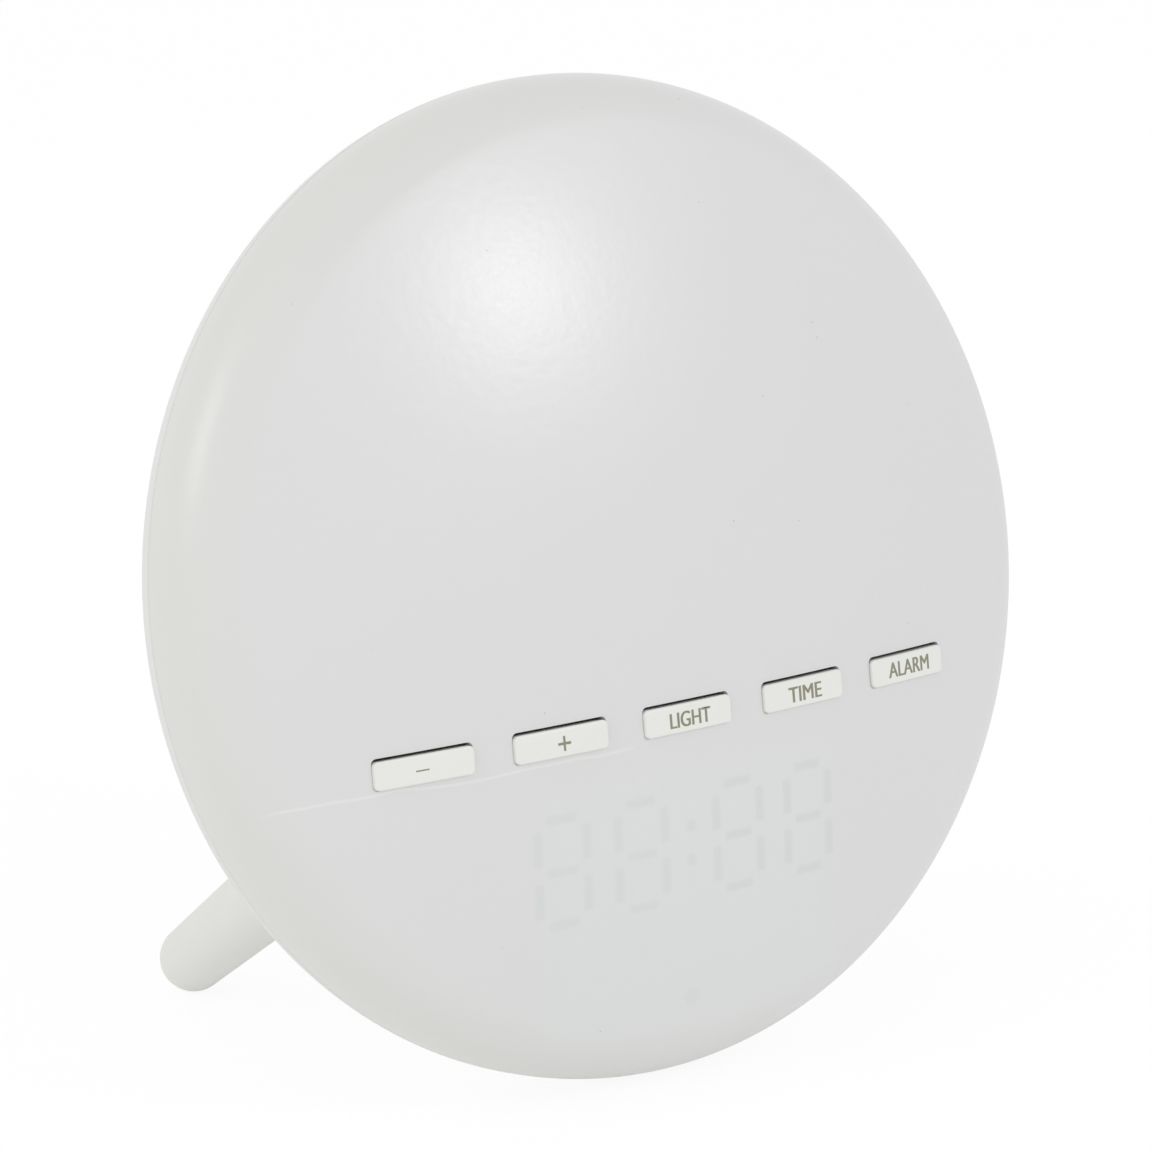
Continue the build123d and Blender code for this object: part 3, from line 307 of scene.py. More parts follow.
def makeOpalFront(look):
    material, shader = startMaterial(look["name"])
    where = discCoordinates(material)
    axes = addNode(material, "SeparateXYZ", {}, {0: where})
    across, up = axes.outputs[0], axes.outputs[2]

    # Painted shade: the left-hand rim drawn a little darker and yellower than the face
    flat = addNode(material, "VectorMath", {"operation": "MULTIPLY", 1: (1, 0, 1)}, {0: where})
    radius = addNode(material, "VectorMath", {"operation": "LENGTH"}, {0: flat.outputs[0]})
    outer = addNode(
        material, "MapRange",
        {"interpolation_type": "SMOOTHSTEP", "From Min": look["rimFrom"], "From Max": disc["radius"]},
        {"Value": radius.outputs["Value"]},
    )
    # The painted shade lies on the left-hand side only
    fadeFrom, fadeTo = look["rimShadeSide"]
    aside = addNode(
        material, "MapRange",
        {"interpolation_type": "SMOOTHSTEP", "From Min": fadeFrom, "From Max": fadeTo}, {"Value": across},
    )
    outer = addNode(material, "Math", {"operation": "MULTIPLY"}, {0: outer.outputs[0], 1: aside.outputs[0]})
    base = addNode(
        material, "Mix",
        {"data_type": "RGBA", 6: linearColour(look["colour"]), 7: linearColour(look["rimShadeColour"])},
        {0: outer.outputs[0]},
    )

    # The display's pale patch
    sides = []
    for value, middle, half in zip((across, up), look["patchMiddle"], look["patchHalf"]):
        offset = addNode(material, "Math", {"operation": "SUBTRACT", 1: middle}, {0: value})
        size = addNode(material, "Math", {"operation": "ABSOLUTE"}, {0: offset.outputs[0]})
        sides.append(addNode(
            material, "MapRange",
            {"interpolation_type": "SMOOTHSTEP", "From Min": half, "From Max": half - look["patchEdge"]},
            {"Value": size.outputs[0]},
        ))
    patch = addNode(
        material, "Math", {"operation": "MULTIPLY"}, {0: sides[0].outputs[0], 1: sides[1].outputs[0]},
    )
    colour = addNode(
        material, "Mix",
        {"data_type": "RGBA", 7: linearColour(look["coolPatch"])},
        {0: patch.outputs[0], 6: base.outputs[2]},
    )

    # Four figures, folded onto one: how far beside its middle a place is, and how far above or below
    rise = addNode(material, "Math", {"operation": "SUBTRACT", 1: look["figureRow"]}, {0: up})
    folded = addNode(material, "Math", {"operation": "SUBTRACT", 1: look["figureShift"]}, {0: across})
    for pitch in (look["pairPitch"], look["figurePitch"]):
        folded = addNode(material, "Math", {"operation": "ABSOLUTE"}, {0: folded.outputs[0]})
        folded = addNode(material, "Math", {"operation": "SUBTRACT", 1: pitch}, {0: folded.outputs[0]})
    beside = addNode(material, "Math", {"operation": "ABSOLUTE"}, {0: folded.outputs[0]})
    above = addNode(material, "Math", {"operation": "ABSOLUTE"}, {0: rise.outputs[0]})
    marks = []
    for barX, halfX, barZ, halfZ in look["bars"]:
        masks = []
        for value, middle, half in ((beside, barX, halfX), (above, barZ, halfZ)):
            offset = addNode(material, "Math", {"operation": "SUBTRACT", 1: middle}, {0: value.outputs[0]})
            size = addNode(material, "Math", {"operation": "ABSOLUTE"}, {0: offset.outputs[0]})
            masks.append(addNode(
                material, "MapRange",
                {"interpolation_type": "SMOOTHSTEP", "From Min": half + look["barEdge"], "From Max": half},
                {"Value": size.outputs[0]},
            ))
        marks.append(addNode(
            material, "Math", {"operation": "MULTIPLY"}, {0: masks[0].outputs[0], 1: masks[1].outputs[0]},
        ))

    # The colon's two dots, folded onto one
    dotAcross = addNode(material, "Math", {"operation": "SUBTRACT", 1: look["colonMiddle"][0]}, {0: across})
    dotUp = addNode(material, "Math", {"operation": "SUBTRACT", 1: look["colonMiddle"][1]}, {0: up})
    dotUp = addNode(material, "Math", {"operation": "ABSOLUTE"}, {0: dotUp.outputs[0]})
    dotUp = addNode(material, "Math", {"operation": "SUBTRACT", 1: look["colonHalf"]}, {0: dotUp.outputs[0]})
    dot = addNode(material, "CombineXYZ", {}, {0: dotAcross.outputs[0], 1: dotUp.outputs[0]})
    dot = addNode(material, "VectorMath", {"operation": "LENGTH"}, {0: dot.outputs[0]})
    marks.append(addNode(
        material, "MapRange",
        {
            "interpolation_type": "SMOOTHSTEP", "From Min": look["colonRadius"] + look["barEdge"],
            "From Max": look["colonRadius"],
        },
        {"Value": dot.outputs["Value"]},
    ))

    # The round shadow
    spotX, spotZ = look["spotMiddle"]
    spot = addNode(
        material, "VectorMath", {"operation": "DISTANCE", 1: (spotX, 0, spotZ)}, {0: flat.outputs[0]},
    )
    marks.append(addNode(
        material, "MapRange",
        {
            "interpolation_type": "SMOOTHSTEP", "From Min": look["spotRadius"] + look["barEdge"],
            "From Max": look["spotRadius"], "To Max": look["spotStrength"],
        },
        {"Value": spot.outputs["Value"]},
    ))

    figure = marks[0]
    for mark in marks[1:]:
        figure = addNode(
            material, "Math", {"operation": "MAXIMUM"}, {0: figure.outputs[0], 1: mark.outputs[0]},
        )
    fadeFrom, fadeTo = look["pairFade"]
    nearer = addNode(
        material, "MapRange",
        {"From Min": fadeFrom, "From Max": fadeTo, "To Min": look["pairFaint"], "To Max": 1.0},
        {"Value": across},
    )
    strength = addNode(
        material, "Math", {"operation": "MULTIPLY"}, {0: figure.outputs[0], 1: nearer.outputs[0]},
    )
    colour = addNode(
        material, "Mix", {"data_type": "RGBA", 7: linearColour(look["figure"])},
        {0: strength.outputs[0], 6: colour.outputs[2]},
    )

    # The knit line, where the melt closed beyond the keys' windows
    wave = addNode(
        material, "TexNoise", {"Scale": 1 / look["knitWaveSize"], "Detail": 1.0}, {"Vector": where},
    )
    stray = look["knitWave"]
    line = addNode(material, "MapRange", {"To Min": -stray, "To Max": stray}, {"Value": wave.outputs[0]})
    line = addNode(material, "Math", {"operation": "ADD"}, {0: up, 1: line.outputs[0]})
    line = addNode(material, "Math", {"operation": "SUBTRACT", 1: look["knitHeight"]}, {0: line.outputs[0]})
    line = addNode(material, "Math", {"operation": "ABSOLUTE"}, {0: line.outputs[0]})
    line = addNode(
        material, "MapRange",
        {"interpolation_type": "SMOOTHSTEP", "From Min": 2 * look["knitHalf"], "From Max": 0.0},
        {"Value": line.outputs[0]},
    )
    middle = (look["knitFrom"] + look["knitTo"]) / 2
    half = (look["knitTo"] - look["knitFrom"]) / 2
    reach = addNode(material, "Math", {"operation": "SUBTRACT", 1: middle}, {0: across})
    reach = addNode(material, "Math", {"operation": "ABSOLUTE"}, {0: reach.outputs[0]})
    reach = addNode(
        material, "MapRange",
        {"interpolation_type": "SMOOTHSTEP", "From Min": half, "From Max": half - look["knitFade"]},
        {"Value": reach.outputs[0]},
    )
    line = addNode(material, "Math", {"operation": "MULTIPLY"}, {0: line.outputs[0], 1: reach.outputs[0]})
    colour = addNode(
        material, "Mix", {"data_type": "RGBA", 7: linearColour(look["knitLine"])},
        {0: line.outputs[0], 6: colour.outputs[2]},
    )

    # A few burnt specks in the melt
    cells = addNode(material, "TexVoronoi", {"Scale": 1 / look["speckPitch"]}, {"Vector": where})
    size = look["speckRadius"] / look["speckPitch"]
    speck = addNode(
        material, "MapRange", {"From Min": size, "From Max": size / 2}, {"Value": cells.outputs["Distance"]},
    )
    colour = addNode(
        material, "Mix", {"data_type": "RGBA", 7: linearColour(look["speck"])},
        {0: speck.outputs[0], 6: colour.outputs[2]},
    )
    addSurface(material, shader, look, colour.outputs[2])
    return material


# Keys: ABS, injection moulded and polished. Below the front shell's face the cap is drawn near black, as painted
# shade, so that the gap round the key looks dark. The eye sees a warm white cap with a soft edge and a dark gap.
keyCap = {
    "name": "whiteAbsKeyMouldedPolished",
    "width": 17.4,
    "height": 4.8,
    "colour": "#EAEBE6",
    "shade": "#E6E7E2",
    "driftSize": 12.0,
    "grainSize": 0.4,
    "relief": 0.003,
    "roughness": (0.3, 0.38),
    "ior": 1.54,
    # painted shade in the gap: the cap's colour below the front shell's face
    "skirt": "#45443E",
    "skirtRadius": 255.2,  # from the dome's centre
    "skirtEdge": 0.3,
}


def makeKeyCap(look):
    material, shader = startMaterial(look["name"])
    shade = addSurface(material, shader, look)
    where = discCoordinates(material)
    # Painted shade: the cap turns near black below the front shell's face, darkening the gap round it
    radius = addNode(
        material, "VectorMath", {"operation": "DISTANCE", 1: (0, disc["domeCentre"], 0)}, {0: where},
    )
    above = addNode(
        material, "MapRange",
        {"From Min": look["skirtRadius"] - look["skirtEdge"], "From Max": look["skirtRadius"]},
        {"Value": radius.outputs["Value"]},
    )
    colour = addNode(
        material, "Mix", {"data_type": "RGBA", 6: linearColour(look["skirt"])},
        {0: above.outputs[0], 7: shade.outputs[2]},
    )
    material.node_tree.links.new(colour.outputs[2], shader.inputs["Base Color"])
    return material


# The other finishes, by the record's slot
finishes = {
    # ABS moulded in a spark-eroded tool: the eye sees a dry, finely pebbled satin. The pebbles
    # are drawn about twice as coarse as the real 0.3 to 0.4 mm so that they show.
    "white_shell": {
        "name": "whiteAbsMouldedSparkEroded", "colour": "#E2E2E0", "shade": "#DEDEDC", "driftSize": 40.0,
        "grainSize": 0.8, "relief": 0.035, "roughness": (0.42, 0.54), "ior": 1.54,
    },
    # ABS moulded in a fine-blasted tool: smooth, a little warmer where it is thick
    "white_leg": {
        "name": "whiteAbsMouldedFineBlasted", "colour": "#E2E3DE", "shade": "#DEDFDA", "driftSize": 25.0,
        "grainSize": 0.6, "relief": 0.012, "roughness": (0.38, 0.46), "ior": 1.54,
    },
    # Silicone rubber, pressed: matt, soft, gathers a little dust
    "foot_rubber": {
        "name": "greySiliconePressed", "colour": "#CFCFCB", "shade": "#C4C4BF", "driftSize": 4.0,
        "grainSize": 0.3, "relief": 0.02, "roughness": (0.7, 0.85), "ior": 1.43,
    },
    # Steel screws, cold headed and zinc plated: bluish bright metal with a fine drag
    "zinc_screw": {
        "name": "zincPlatedSteelColdHeaded", "colour": "#C3C6C8", "shade": "#AEB1B2", "driftSize": 1.5,
        "grainSize": 0.3, "relief": 0.006, "roughness": (0.3, 0.42), "metallic": 1.0,
    },
    # Glass-filled nylon switch housings, moulded: near black, dull
    "switch_black": {
        "name": "blackNylonSwitchMoulded", "colour": "#1C1C1D", "shade": "#242425", "driftSize": 3.0,
        "grainSize": 0.25, "relief": 0.01, "roughness": (0.5, 0.65), "ior": 1.53,
    },
    # Acetal plungers, moulded: black and slippery, with a low waxy gloss
    "plunger_black": {
        "name": "blackAcetalMoulded", "colour": "#202021", "shade": "#282829", "driftSize": 2.0,
        "grainSize": 0.25, "relief": 0.004, "roughness": (0.32, 0.42), "ior": 1.48,
    },
    # Black ABS, moulded: light-tight, dull
    "guide_black": {
        "name": "blackAbsMoulded", "colour": "#222223", "shade": "#2A2A2B", "driftSize": 8.0,
        "grainSize": 0.4, "relief": 0.008, "roughness": (0.48, 0.6), "ior": 1.54,
    },
    # Epoxy moulding compound: charcoal, flat sheen
    "chip_black": {
        "name": "blackEpoxyTransferMoulded", "colour": "#262728", "shade": "#2E2F30", "driftSize": 2.0,
        "grainSize": 0.3, "relief": 0.012, "roughness": (0.55, 0.7), "ior": 1.55,
    },
    # Nickel silver crystal can, drawn: bright with lengthwise drag
    "crystal_can": {
        "name": "nickelSilverDrawn", "colour": "#CFCDC6", "shade": "#BDBBB4", "driftSize": 1.2,
        "grainSize": 0.2, "relief": 0.003, "roughness": (0.28, 0.36), "metallic": 1.0,
    },
    # Aluminium capacitor cans in a printed sleeve, shrunk on: dark satin film
    "capacitor_can": {
        "name": "darkPvcSleeveShrunk", "colour": "#2B2E3A", "shade": "#343848", "driftSize": 3.0,
        "grainSize": 0.5, "relief": 0.006, "roughness": (0.3, 0.42), "ior": 1.53,
    },
    # Natural nylon, moulded: milky, faintly yellow
    "header_nylon": {
        "name": "naturalNylonMoulded", "colour": "#E5E0D2", "shade": "#DCD6C6", "driftSize": 3.0,
        "grainSize": 0.3, "relief": 0.005, "roughness": (0.4, 0.5), "ior": 1.53,
    },
    # Grey reflector-faced display body, moulded: dull grey around the bars
    "display_grey": {
        "name": "greyPolycarbonateMoulded", "colour": "#7F8282", "shade": "#767979", "driftSize": 10.0,
        "grainSize": 0.4, "relief": 0.006, "roughness": (0.5, 0.6), "ior": 1.585,
    },
    # Diffused epoxy bars, cast: milky and faintly yellow when unlit
    "display_segment": {
        "name": "milkyEpoxyCast", "colour": "#E3E4D8", "shade": "#D9DACC", "driftSize": 3.0,
        "grainSize": 0.3, "relief": 0.003, "roughness": (0.28, 0.36), "ior": 1.55,
    },
    # Tinned brass wire pins, cut: soft bright grey
    "tinned_pin": {
        "name": "tinnedBrassCut", "colour": "#C9C8C2", "shade": "#B8B7B0", "driftSize": 0.8,
        "grainSize": 0.15, "relief": 0.004, "roughness": (0.3, 0.42), "metallic": 1.0,
    },
    # White ABS shroud, moulded and left untextured: smooth, semi-gloss
    "shroud_white": {
        "name": "whiteAbsMouldedSmooth", "colour": "#E8E8E5", "shade": "#E1E1DE", "driftSize": 15.0,
        "grainSize": 0.4, "relief": 0.003, "roughness": (0.3, 0.4), "ior": 1.54,
    },
    # Phosphor under clear silicone, dispensed: a saturated yellow lens
    "led_phosphor": {
        "name": "yellowPhosphorSiliconeDispensed", "colour": "#E3C64A", "shade": "#D8B838", "driftSize": 1.0,
        "grainSize": 0.2, "relief": 0.003, "roughness": (0.2, 0.3), "ior": 1.41,
    },
    # Highly filled white polycarbonate, moulded: bright and quite matt
    "reflector_white": {
        "name": "whiteFilledPolycarbonateMoulded", "colour": "#EFEFED", "shade": "#E8E8E6", "driftSize": 20.0,
        "grainSize": 0.5, "relief": 0.006, "roughness": (0.55, 0.65), "ior": 1.585,
    },
    # Steel basket, pressed and black painted: dark with a soft gloss and orange peel
    "speaker_basket": {
        "name": "blackPaintedSteelPressed", "colour": "#232426", "shade": "#2B2C2E", "driftSize": 6.0,
        "grainSize": 1.2, "relief": 0.02, "roughness": (0.35, 0.45), "ior": 1.5,
    },
    # Paper cone, felted and dyed: fibrous, completely matt
    "speaker_paper": {
        "name": "dyedPaperFelted", "colour": "#3A3733", "shade": "#4B4741", "driftSize": 1.6,
        "grainSize": 0.35, "relief": 0.05, "roughness": (0.85, 0.95), "ior": 1.45,
    },
    # Ferrite magnet in a zinc plated pot, pressed: cool grey metal
    "speaker_pot": {
        "name": "zincPlatedSteelPressed", "colour": "#B4B6B5", "shade": "#9EA09F", "driftSize": 2.5,
        "grainSize": 0.25, "relief": 0.008, "roughness": (0.32, 0.46), "metallic": 1.0,
    },
    # EVA foam, die cut: soft, open pores
    "gasket_foam": {
        "name": "blackEvaFoamDieCut", "colour": "#2C2C2D", "shade": "#3A3A3B", "driftSize": 0.9,
        "grainSize": 0.4, "relief": 0.12, "roughness": (0.85, 0.95), "ior": 1.45,
    },
    # Stainless cell can, deep drawn and tumbled: mirror-like with fine scratches
    "cell_can": {
        "name": "stainlessSteelDeepDrawn", "colour": "#CBCBC8", "shade": "#BDBDBA", "driftSize": 5.0,
        "grainSize": 0.2, "relief": 0.002, "roughness": (0.16, 0.28), "metallic": 1.0,
    },
    # Phosphor bronze strip, nickel plated and stamped: warm grey metal
    "contact_nickel": {
        "name": "nickelPlatedBronzeStamped", "colour": "#CFC9BC", "shade": "#BEB8AA", "driftSize": 1.5,
        "grainSize": 0.15, "relief": 0.003, "roughness": (0.22, 0.34), "metallic": 1.0,
    },
    # Inlet body in black PBT, moulded: deep black, satin
    "socket_black": {
        "name": "blackPbtMoulded", "colour": "#19191A", "shade": "#212122", "driftSize": 4.0,
        "grainSize": 0.3, "relief": 0.006, "roughness": (0.34, 0.44), "ior": 1.55,
    },
    # Brass contacts, turned and nickel plated
    "socket_contact": {
        "name": "nickelPlatedBrassTurned", "colour": "#D3CDBB", "shade": "#C2BCA9", "driftSize": 1.0,
        "grainSize": 0.15, "relief": 0.003, "roughness": (0.28, 0.36), "metallic": 1.0,
    },
    # PVC wire insulation, extruded: smooth, slightly glossy
    "lead_insulation": {
        "name": "whitePvcExtruded", "colour": "#DDDDD8", "shade": "#D3D3CD", "driftSize": 6.0,
        "grainSize": 0.4, "relief": 0.006, "roughness": (0.34, 0.44), "ior": 1.53,
    },
}

# Boards: glass-epoxy laminate, solder masked by screen. The eye sees a glossy green skin with
# the copper's runs standing lighter under it.
board = {
    "name": "greenSolderMaskScreened",
    "colour": "#1F5A3B",
    "shade": "#1B5236",
    "copper": "#3A7C55",
    "runSize": 6.0,
    "runTurns": 0.7,
    "runWidth": 0.09,
    "runCore": 0.7,  # the share of its width where a run shows fully
    "driftSize": 14.0,
    "grainSize": 0.4,
    "relief": 0.006,
    "roughness": (0.24, 0.34),
    "ior": 1.5,
}


def makeBoard(look):
    material, shader = startMaterial(look["name"])
    shade = addSurface(material, shader, look)
    where = discCoordinates(material)
    runs = addNode(
        material, "TexVoronoi",
        {
            "distance": "CHEBYCHEV", "feature": "DISTANCE_TO_EDGE",
            "Scale": 1 / look["runSize"], "Randomness": look["runTurns"],
        },
        {"Vector": where},
    )
    run = addNode(
        material, "MapRange", {"From Min": look["runWidth"], "From Max": look["runWidth"] * look["runCore"]},
        {"Value": runs.outputs["Distance"]},
    )
    colour = addNode(
        material, "Mix", {"data_type": "RGBA", 7: linearColour(look["copper"])},
        {0: run.outputs[0], 6: shade.outputs[2]},
    )
    material.node_tree.links.new(colour.outputs[2], shader.inputs["Base Color"])
    return material


madeMaterials = {
    "opal_front": makeOpalFront(opalFront),
    "white_key": makeKeyCap(keyCap),
    "circuit_board": makeBoard(board),
}
for slotName, look in finishes.items():
    material, shader = startMaterial(look["name"])
    addSurface(material, shader, look)
    madeMaterials[slotName] = material
slotOf = {part["node"]: part["material_slot"] for part in frame["record"]["subparts"]}
for nodeName, node in frame["nodes"].items():
    node.data.materials.clear()
    node.data.materials.append(madeMaterials[slotOf[nodeName]])
print("finishes on", len(frame["nodes"]), "nodes")

# Front shell: the outline runs from the dome's outer middle round the rim and back inside
frontShell = {
    "domeSteps": 48,
    "rimSteps": 20,
    "around": 224,
    "caseBoss": 6.8,
    "caseBossPlace": 52.326,
    "caseHole": 2.4,
    "caseHoleDepth": 9.5,
    "guideBoss": 4.8,
    "guideBossPlace": (36.9, -16.2),
    "guideHole": 1.5,
    "guideHoleDepth": 3.6,
    "bossDepth": 30.0,  # from the seam to well past the shell, which trims it
    "bossSides": 40,
    "holeSides": 24,
    "overrun": 1.0,  # of a hole's tool, out of the face that it starts in
    "windowGap": (0.06, 0.52, 0.06),  # beside, above and below a key
    "windowCorner": 0.9,
    "windowCornerSteps": 6,
    "windowMiddle": -20.0,  # before the seam
    "windowDepth": 24.0,
}


def shellOutline(inset, hollow):
    # The front shell's outline, its skin moved in by inset; a hollow one has the wall's inside too
    middle, radius = disc["domeCentre"], disc["domeRadius"] - inset
    rim, rounding = disc["radius"] - disc["rimRounding"], disc["rimRounding"] - inset
    bend = degrees(asin(rim / (disc["domeRadius"] - disc["rimRounding"])))
    strokes = [
        ("start", middle - radius, 0.0),
        ("arc", middle, 0.0, bend, frontShell["domeSteps"]),
        ("arc", -disc["rimDepth"], rim, 90 - bend, frontShell["rimSteps"]),
    ]
    if not hollow:
        return strokes + [("line", 0.0, rim + rounding), ("line", 0.0, 0.0)]
    groove, wall = disc["seamGroove"], disc["wall"]
    return strokes + [
        ("line", -groove, disc["radius"]),
        ("line", 0.0, disc["radius"] - groove),
        ("line", 0.0, disc["radius"] - wall),
        ("line", -disc["rimDepth"], disc["radius"] - wall),
        ("arc", -disc["rimDepth"], rim, bend - 90, frontShell["rimSteps"]),
        ("arc", middle, 0.0, -bend, frontShell["domeSteps"]),
    ]


def makeFrontShell(look):
    shell = spinOutline("front_shell", shellOutline(0.0, True), look["around"])
    guideFront = discBox("key_guide")[0].y
    place, (guideX, guideZ) = look["caseBossPlace"], look["guideBossPlace"]
    corners = [(x, z) for x in (-place, place) for z in (-place, place)]
    bosses = [(x, z, look["caseBoss"], -look["bossDepth"], 0.0) for x, z in corners]
    bosses += [(x, guideZ, look["guideBoss"], -look["bossDepth"], guideFront) for x in (-guideX, guideX)]
    posts = addRods("posts", bosses, look["bossSides"])
    core = spinOutline("core", shellOutline(disc["wall"] / 2, False), look["around"])
    shapeWith(posts, core, "INTERSECT")
    shapeWith(shell, posts, "UNION")
    over = look["overrun"]
    holes = [(x, z, look["caseHole"], -look["caseHoleDepth"], over) for x, z in corners]
    deep = guideFront - look["guideHoleDepth"]
    holes += [(x, guideZ, look["guideHole"], deep, guideFront + over) for x in (-guideX, guideX)]
    shapeWith(shell, addRods("holes", holes, look["holeSides"]), "DIFFERENCE")

    # Windows for the keys
    beside, above, below = look["windowGap"]
    windows = []
    for name in keyNames:
        x = sum(corner.x for corner in discBox(name + "_key")) / 2
        row = sum(corner.z for corner in discBox(name + "_plunger")) / 2
        low = (x - keyCap["width"] / 2 - beside, row - keyCap["height"] / 2 - below)
        high = (x + keyCap["width"] / 2 + beside, row + keyCap["height"] / 2 + above)
        middle = ((low[0] + high[0]) / 2 * mm, look["windowMiddle"] * mm, (low[1] + high[1]) / 2 * mm)
        size = ((high[0] - low[0]) * mm, look["windowDepth"] * mm, (high[1] - low[1]) * mm)
        bpy.ops.object.select_all(action="DESELECT")
        bpy.ops.mesh.primitive_cube_add(size=1, location=middle, scale=size)
        window = bpy.context.object
        bpy.ops.object.transform_apply(location=False, rotation=False, scale=True)
        bpy.ops.object.mode_set(mode="EDIT")
        bpy.ops.mesh.select_all(action="DESELECT")
        bpy.ops.object.mode_set(mode="OBJECT")
        for edge in window.data.edges:
            ends = [window.data.vertices[index].co for index in edge.vertices]
            edge.select = abs(ends[0].y - ends[1].y) > mm
        bpy.ops.object.mode_set(mode="EDIT")
        bpy.ops.mesh.bevel(offset=look["windowCorner"] * mm, segments=look["windowCornerSteps"])
        bpy.ops.object.mode_set(mode="OBJECT")
        windows.append(window)
    for window in windows:
        window.select_set(True)
    bpy.context.view_layer.objects.active = windows[0]
    bpy.ops.object.join()
    shapeWith(shell, windows[0], "DIFFERENCE")
    settle(shell, madeMaterials["opal_front"], "clock", ["front_diffuser"])


makeFrontShell(frontShell)

# Key labels: pad-printed ink. The eye sees a thin, dull grey-brown film with crisp edges.
label = {
    "name": "greyBrownInkPadPrinted",
    "colour": "#8F8D79",
    "shade": "#888672",
    "driftSize": 2.0,
    "grainSize": 0.15,
    "relief": 0.003,
    "roughness": (0.5, 0.6),
    "ior": 1.5,
    "film": 0.01,  # proud of the cap, and as deep in it
    "blank": 0.2,  # the letters' thickness before they are laid on the cap
    "ahead": 1.0,  # their place before the cap until then
    "weld": 0.0005,
    "thinnest": 0.001,  # what is thinner comes out of the finished mesh
    "spread": 0.09,  # how far the ink thickens a word's upright strokes, to each side
    # Each key's text, its printed width and height, and its place from the key's middle
    "texts": {
        "minus": ("−", 2.3, 0.24, -0.6, -0.2),
        "plus": ("+", 2.4, 2.5, 0.2, -0.2),
        "light": ("LIGHT", 8.3, 2.6, 0.15, -0.2),
        "time": ("TIME", 7.4, 2.6, 0.15, -0.2),
        "alarm": ("ALARM", 10.1, 2.6, 0.25, 0.0),
    },
}


def meshSpan(piece, axis):
    places = [vertex.co[axis] for vertex in piece.data.vertices]
    return min(places), max(places)


def makeLabel(keyName, text, width, height, x, z):
    low, high = discBox(keyName + "_key")
    spread = label["spread"] if len(text) > 1 else 0.0
    bpy.ops.object.select_all(action="DESELECT")
    bpy.ops.object.text_add(rotation=(radians(90), 0, 0))
    letters = bpy.context.object
    letters.name = keyName + "_label"
    letters.data.body = text
    bpy.ops.object.convert(target="MESH")
    bpy.ops.object.transform_apply(location=False, rotation=True, scale=False)
    (left, right), (bottom, top) = meshSpan(letters, 0), meshSpan(letters, 2)
    letters.scale = ((width - 2 * spread) * mm / (right - left), 1, height * mm / (top - bottom))
    bpy.ops.object.transform_apply(location=False, rotation=False, scale=True)
    (left, right), (bottom, top) = meshSpan(letters, 0), meshSpan(letters, 2)
    front = (low.y - label["ahead"]) * mm
    letters.location = (
        ((low.x + high.x) / 2 + x) * mm - (left + right) / 2, front,
        ((low.z + high.z) / 2 + z) * mm - (bottom + top) / 2,
    )
    bpy.ops.object.transform_apply(location=True, rotation=False, scale=False)
    bpy.ops.object.mode_set(mode="EDIT")
    bpy.ops.mesh.select_all(action="SELECT")
    bpy.ops.mesh.remove_doubles(threshold=label["weld"] * mm)
    bpy.ops.object.mode_set(mode="OBJECT")
    film = letters.modifiers.new("film", "SOLIDIFY")
    film.thickness = label["blank"] * mm
    film.offset = 0.0
    bpy.ops.object.modifier_apply(modifier=film.name)
    if spread:
        # Two copies, one to each side, are joined
        selectOnly(letters)
        bpy.ops.transform.translate(value=(-spread * mm, 0, 0))
        bpy.ops.object.transform_apply(location=True, rotation=False, scale=False)
        bpy.ops.object.duplicate()
        bpy.ops.transform.translate(value=(2 * spread * mm, 0, 0))
        bpy.ops.object.transform_apply(location=True, rotation=False, scale=False)
        shapeWith(letters, bpy.context.object, "UNION", "MANIFOLD")

    # Both faces of the film follow the key's cap
    letters.matrix_world = discPlace
    for groupName, isFront, offset in (("outer", True, 1), ("inner", False, -1)):
        group = letters.vertex_groups.new(name=groupName)
        group.add([v.index for v in letters.data.vertices if (v.co.y < front) == isFront], 1.0, "ADD")
        wrap = letters.modifiers.new(groupName, "SHRINKWRAP")
        wrap.target = frame["nodes"][keyName + "_key"]
        wrap.wrap_method = "PROJECT"
        wrap.use_project_y = True
        wrap.use_positive_direction = True
        wrap.vertex_group = groupName
        wrap.offset = offset * label["film"] * mm
    selectOnly(letters)
    for modifier in list(letters.modifiers):
        bpy.ops.object.modifier_apply(modifier=modifier.name)
    letters.vertex_groups.clear()
    bpy.ops.object.mode_set(mode="EDIT")
    bpy.ops.mesh.select_all(action="SELECT")
    bpy.ops.mesh.dissolve_degenerate(threshold=label["thinnest"] * mm)
    bpy.ops.mesh.delete_loose()
    bpy.ops.object.mode_set(mode="OBJECT")
    letters.matrix_world = Matrix.Identity(4)
    settle(letters, ink, keyName + "_button")


ink, shader = startMaterial(label["name"])
addSurface(ink, shader, label)
for keyName in keyNames:
    makeLabel(keyName, *label["texts"][keyName])

# Floor, lights and camera
studio = {
    "floorSize": 8.0,
    "floorColour": "#F7F7F7",
    "floorRoughness": 0.9,
    "floorGlow": 0.85,  # the share of the floor that the camera sees as plain white
    "glowStrength": 1.03,
    "floorBounce": 0.33,  # the share of the floor that lights the clock evenly, as a lit table does
    "worldLevel": 0.902,
    "worldSlope": (0.17, 0.0, 0.14),  # dimmer to the right, to the back and upwards by so much
    # Direction, distance, size, tilt and power; the sheen shows in the gloss alone
    "lights": {
        "key": ((0.386, -0.751, 0.536), 1.4, (0.22, 0.22), 0, 2.1),
        "sheen": ((0.446, -0.687, 0.574), 1.4, (0.85, 0.28), 18, 0.45),
        "strip": ((-0.82, 0.02, 0.56), 1.2, (0.42, 0.42), 0, 1.1),
    },
    "sensor": 36.0,
    "lens": 184.74,
    "cameraPlace": (-0.54367, -0.80703, 0.36773),
    "cameraTurn": (73.47, 0.0, -34.37),
}
target = Vector((0, seamY, seamHeight))

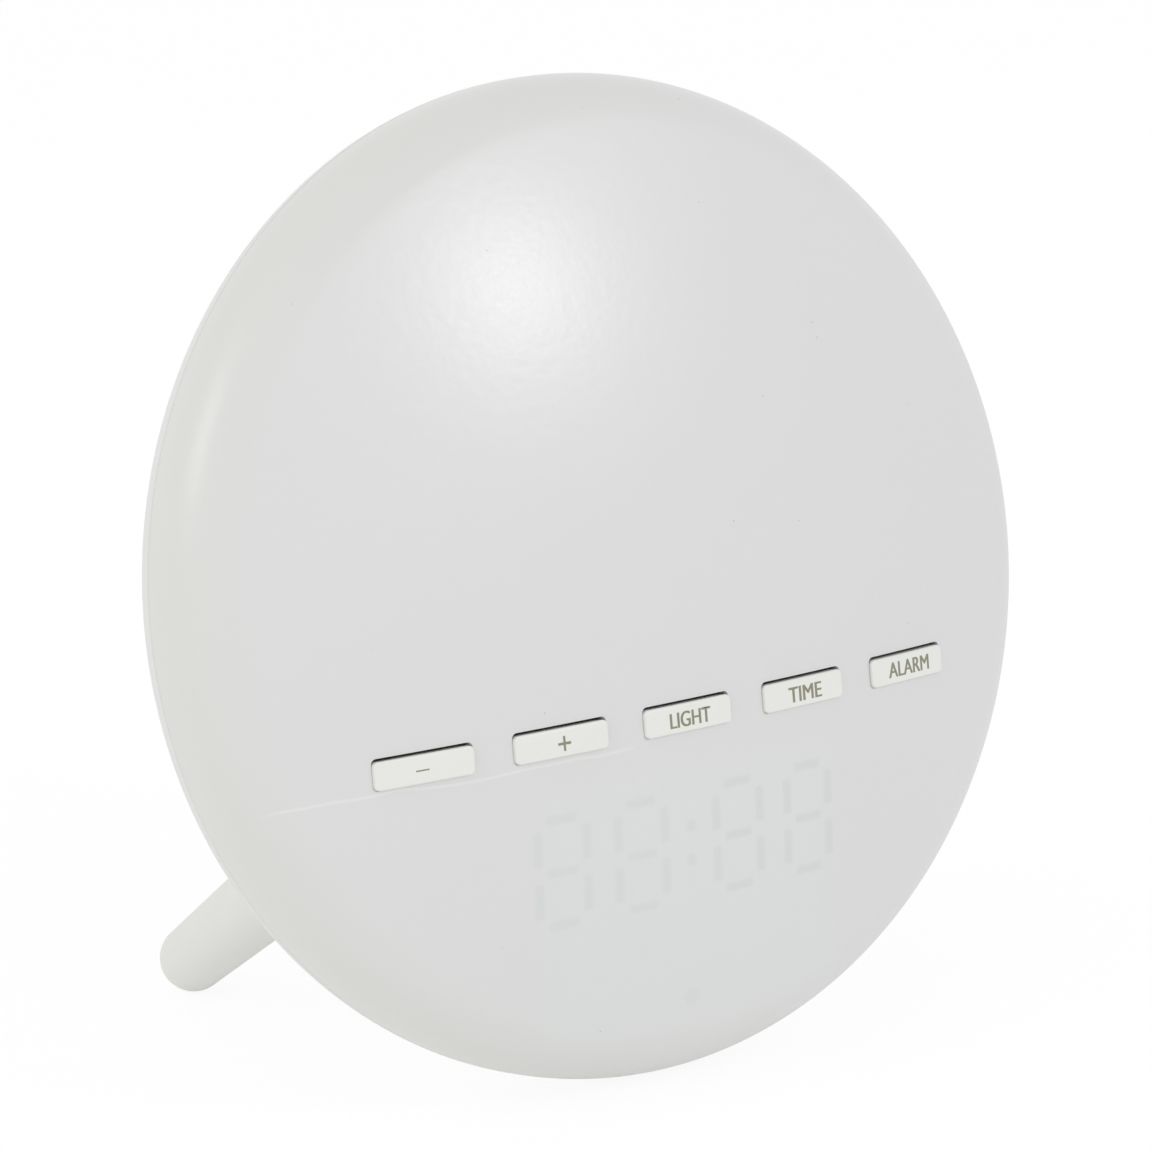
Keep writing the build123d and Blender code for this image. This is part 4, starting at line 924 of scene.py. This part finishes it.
bpy.ops.mesh.primitive_plane_add(size=studio["floorSize"])
floor = bpy.context.object
floor.name = "floor"
paper, shader = startMaterial("whitePaperSweepCoated")
shader.inputs["Base Color"].default_value = linearColour(studio["floorColour"])
shader.inputs["Roughness"].default_value = studio["floorRoughness"]
glow = addNode(paper, "Emission", {"Color": (1, 1, 1, 1), "Strength": studio["glowStrength"]})
rays = addNode(paper, "LightPath")
seen = addNode(
    paper, "MapRange", {"To Min": studio["floorBounce"], "To Max": studio["floorGlow"]},
    {"Value": rays.outputs["Is Camera Ray"]},
)
both = addNode(paper, "MixShader", {}, {0: seen.outputs[0], 1: shader.outputs[0], 2: glow.outputs[0]})
paper.node_tree.links.new(both.outputs[0], paper.node_tree.nodes["Material Output"].inputs["Surface"])
floor.data.materials.append(paper)

world = bpy.data.worlds.new("studio")
bpy.context.scene.world = world
world.use_nodes = True
background = world.node_tree.nodes["Background"]
background.inputs["Color"].default_value = (1, 1, 1, 1)
rays = addNode(world, "LightPath")
direct = rays.outputs["Is Camera Ray"]
for name in ("Is Glossy Ray", "Is Transmission Ray"):
    direct = addNode(world, "Math", {"operation": "MAXIMUM"}, {0: direct, 1: rays.outputs[name]}).outputs[0]
towards = addNode(world, "TexCoord").outputs["Generated"]
slope = addNode(world, "VectorMath", {"operation": "DOT_PRODUCT", 1: studio["worldSlope"]}, {0: towards})
soft = addNode(world, "Math", {"operation": "SUBTRACT", 0: studio["worldLevel"]}, {1: slope.outputs["Value"]})
level = addNode(world, "MapRange", {"To Max": 1.0}, {"Value": direct, "To Min": soft.outputs[0]})
world.node_tree.links.new(level.outputs[0], background.inputs["Strength"])

for name, (direction, distance, size, tilt, power) in studio["lights"].items():
    place = target + Vector(direction).normalized() * distance
    aim = (target - place).to_track_quat("-Z", "Y").to_matrix() @ Matrix.Rotation(radians(tilt), 3, "Z")
    bpy.ops.object.light_add(type="AREA", location=place, rotation=aim.to_euler())
    lamp = bpy.context.object
    lamp.name = name + "Light"
    lamp.data.shape = "RECTANGLE"
    lamp.data.size, lamp.data.size_y = size
    lamp.data.energy = power
    lamp.visible_diffuse = name != "sheen"

turned = [radians(turn) for turn in studio["cameraTurn"]]
bpy.ops.object.camera_add(location=studio["cameraPlace"], rotation=turned)
camera = bpy.context.object
camera.data.sensor_width = studio["sensor"]
camera.data.lens = studio["lens"]
bpy.context.scene.camera = camera
bpy.context.scene.view_settings.view_transform = "Standard"
print("stage ready")
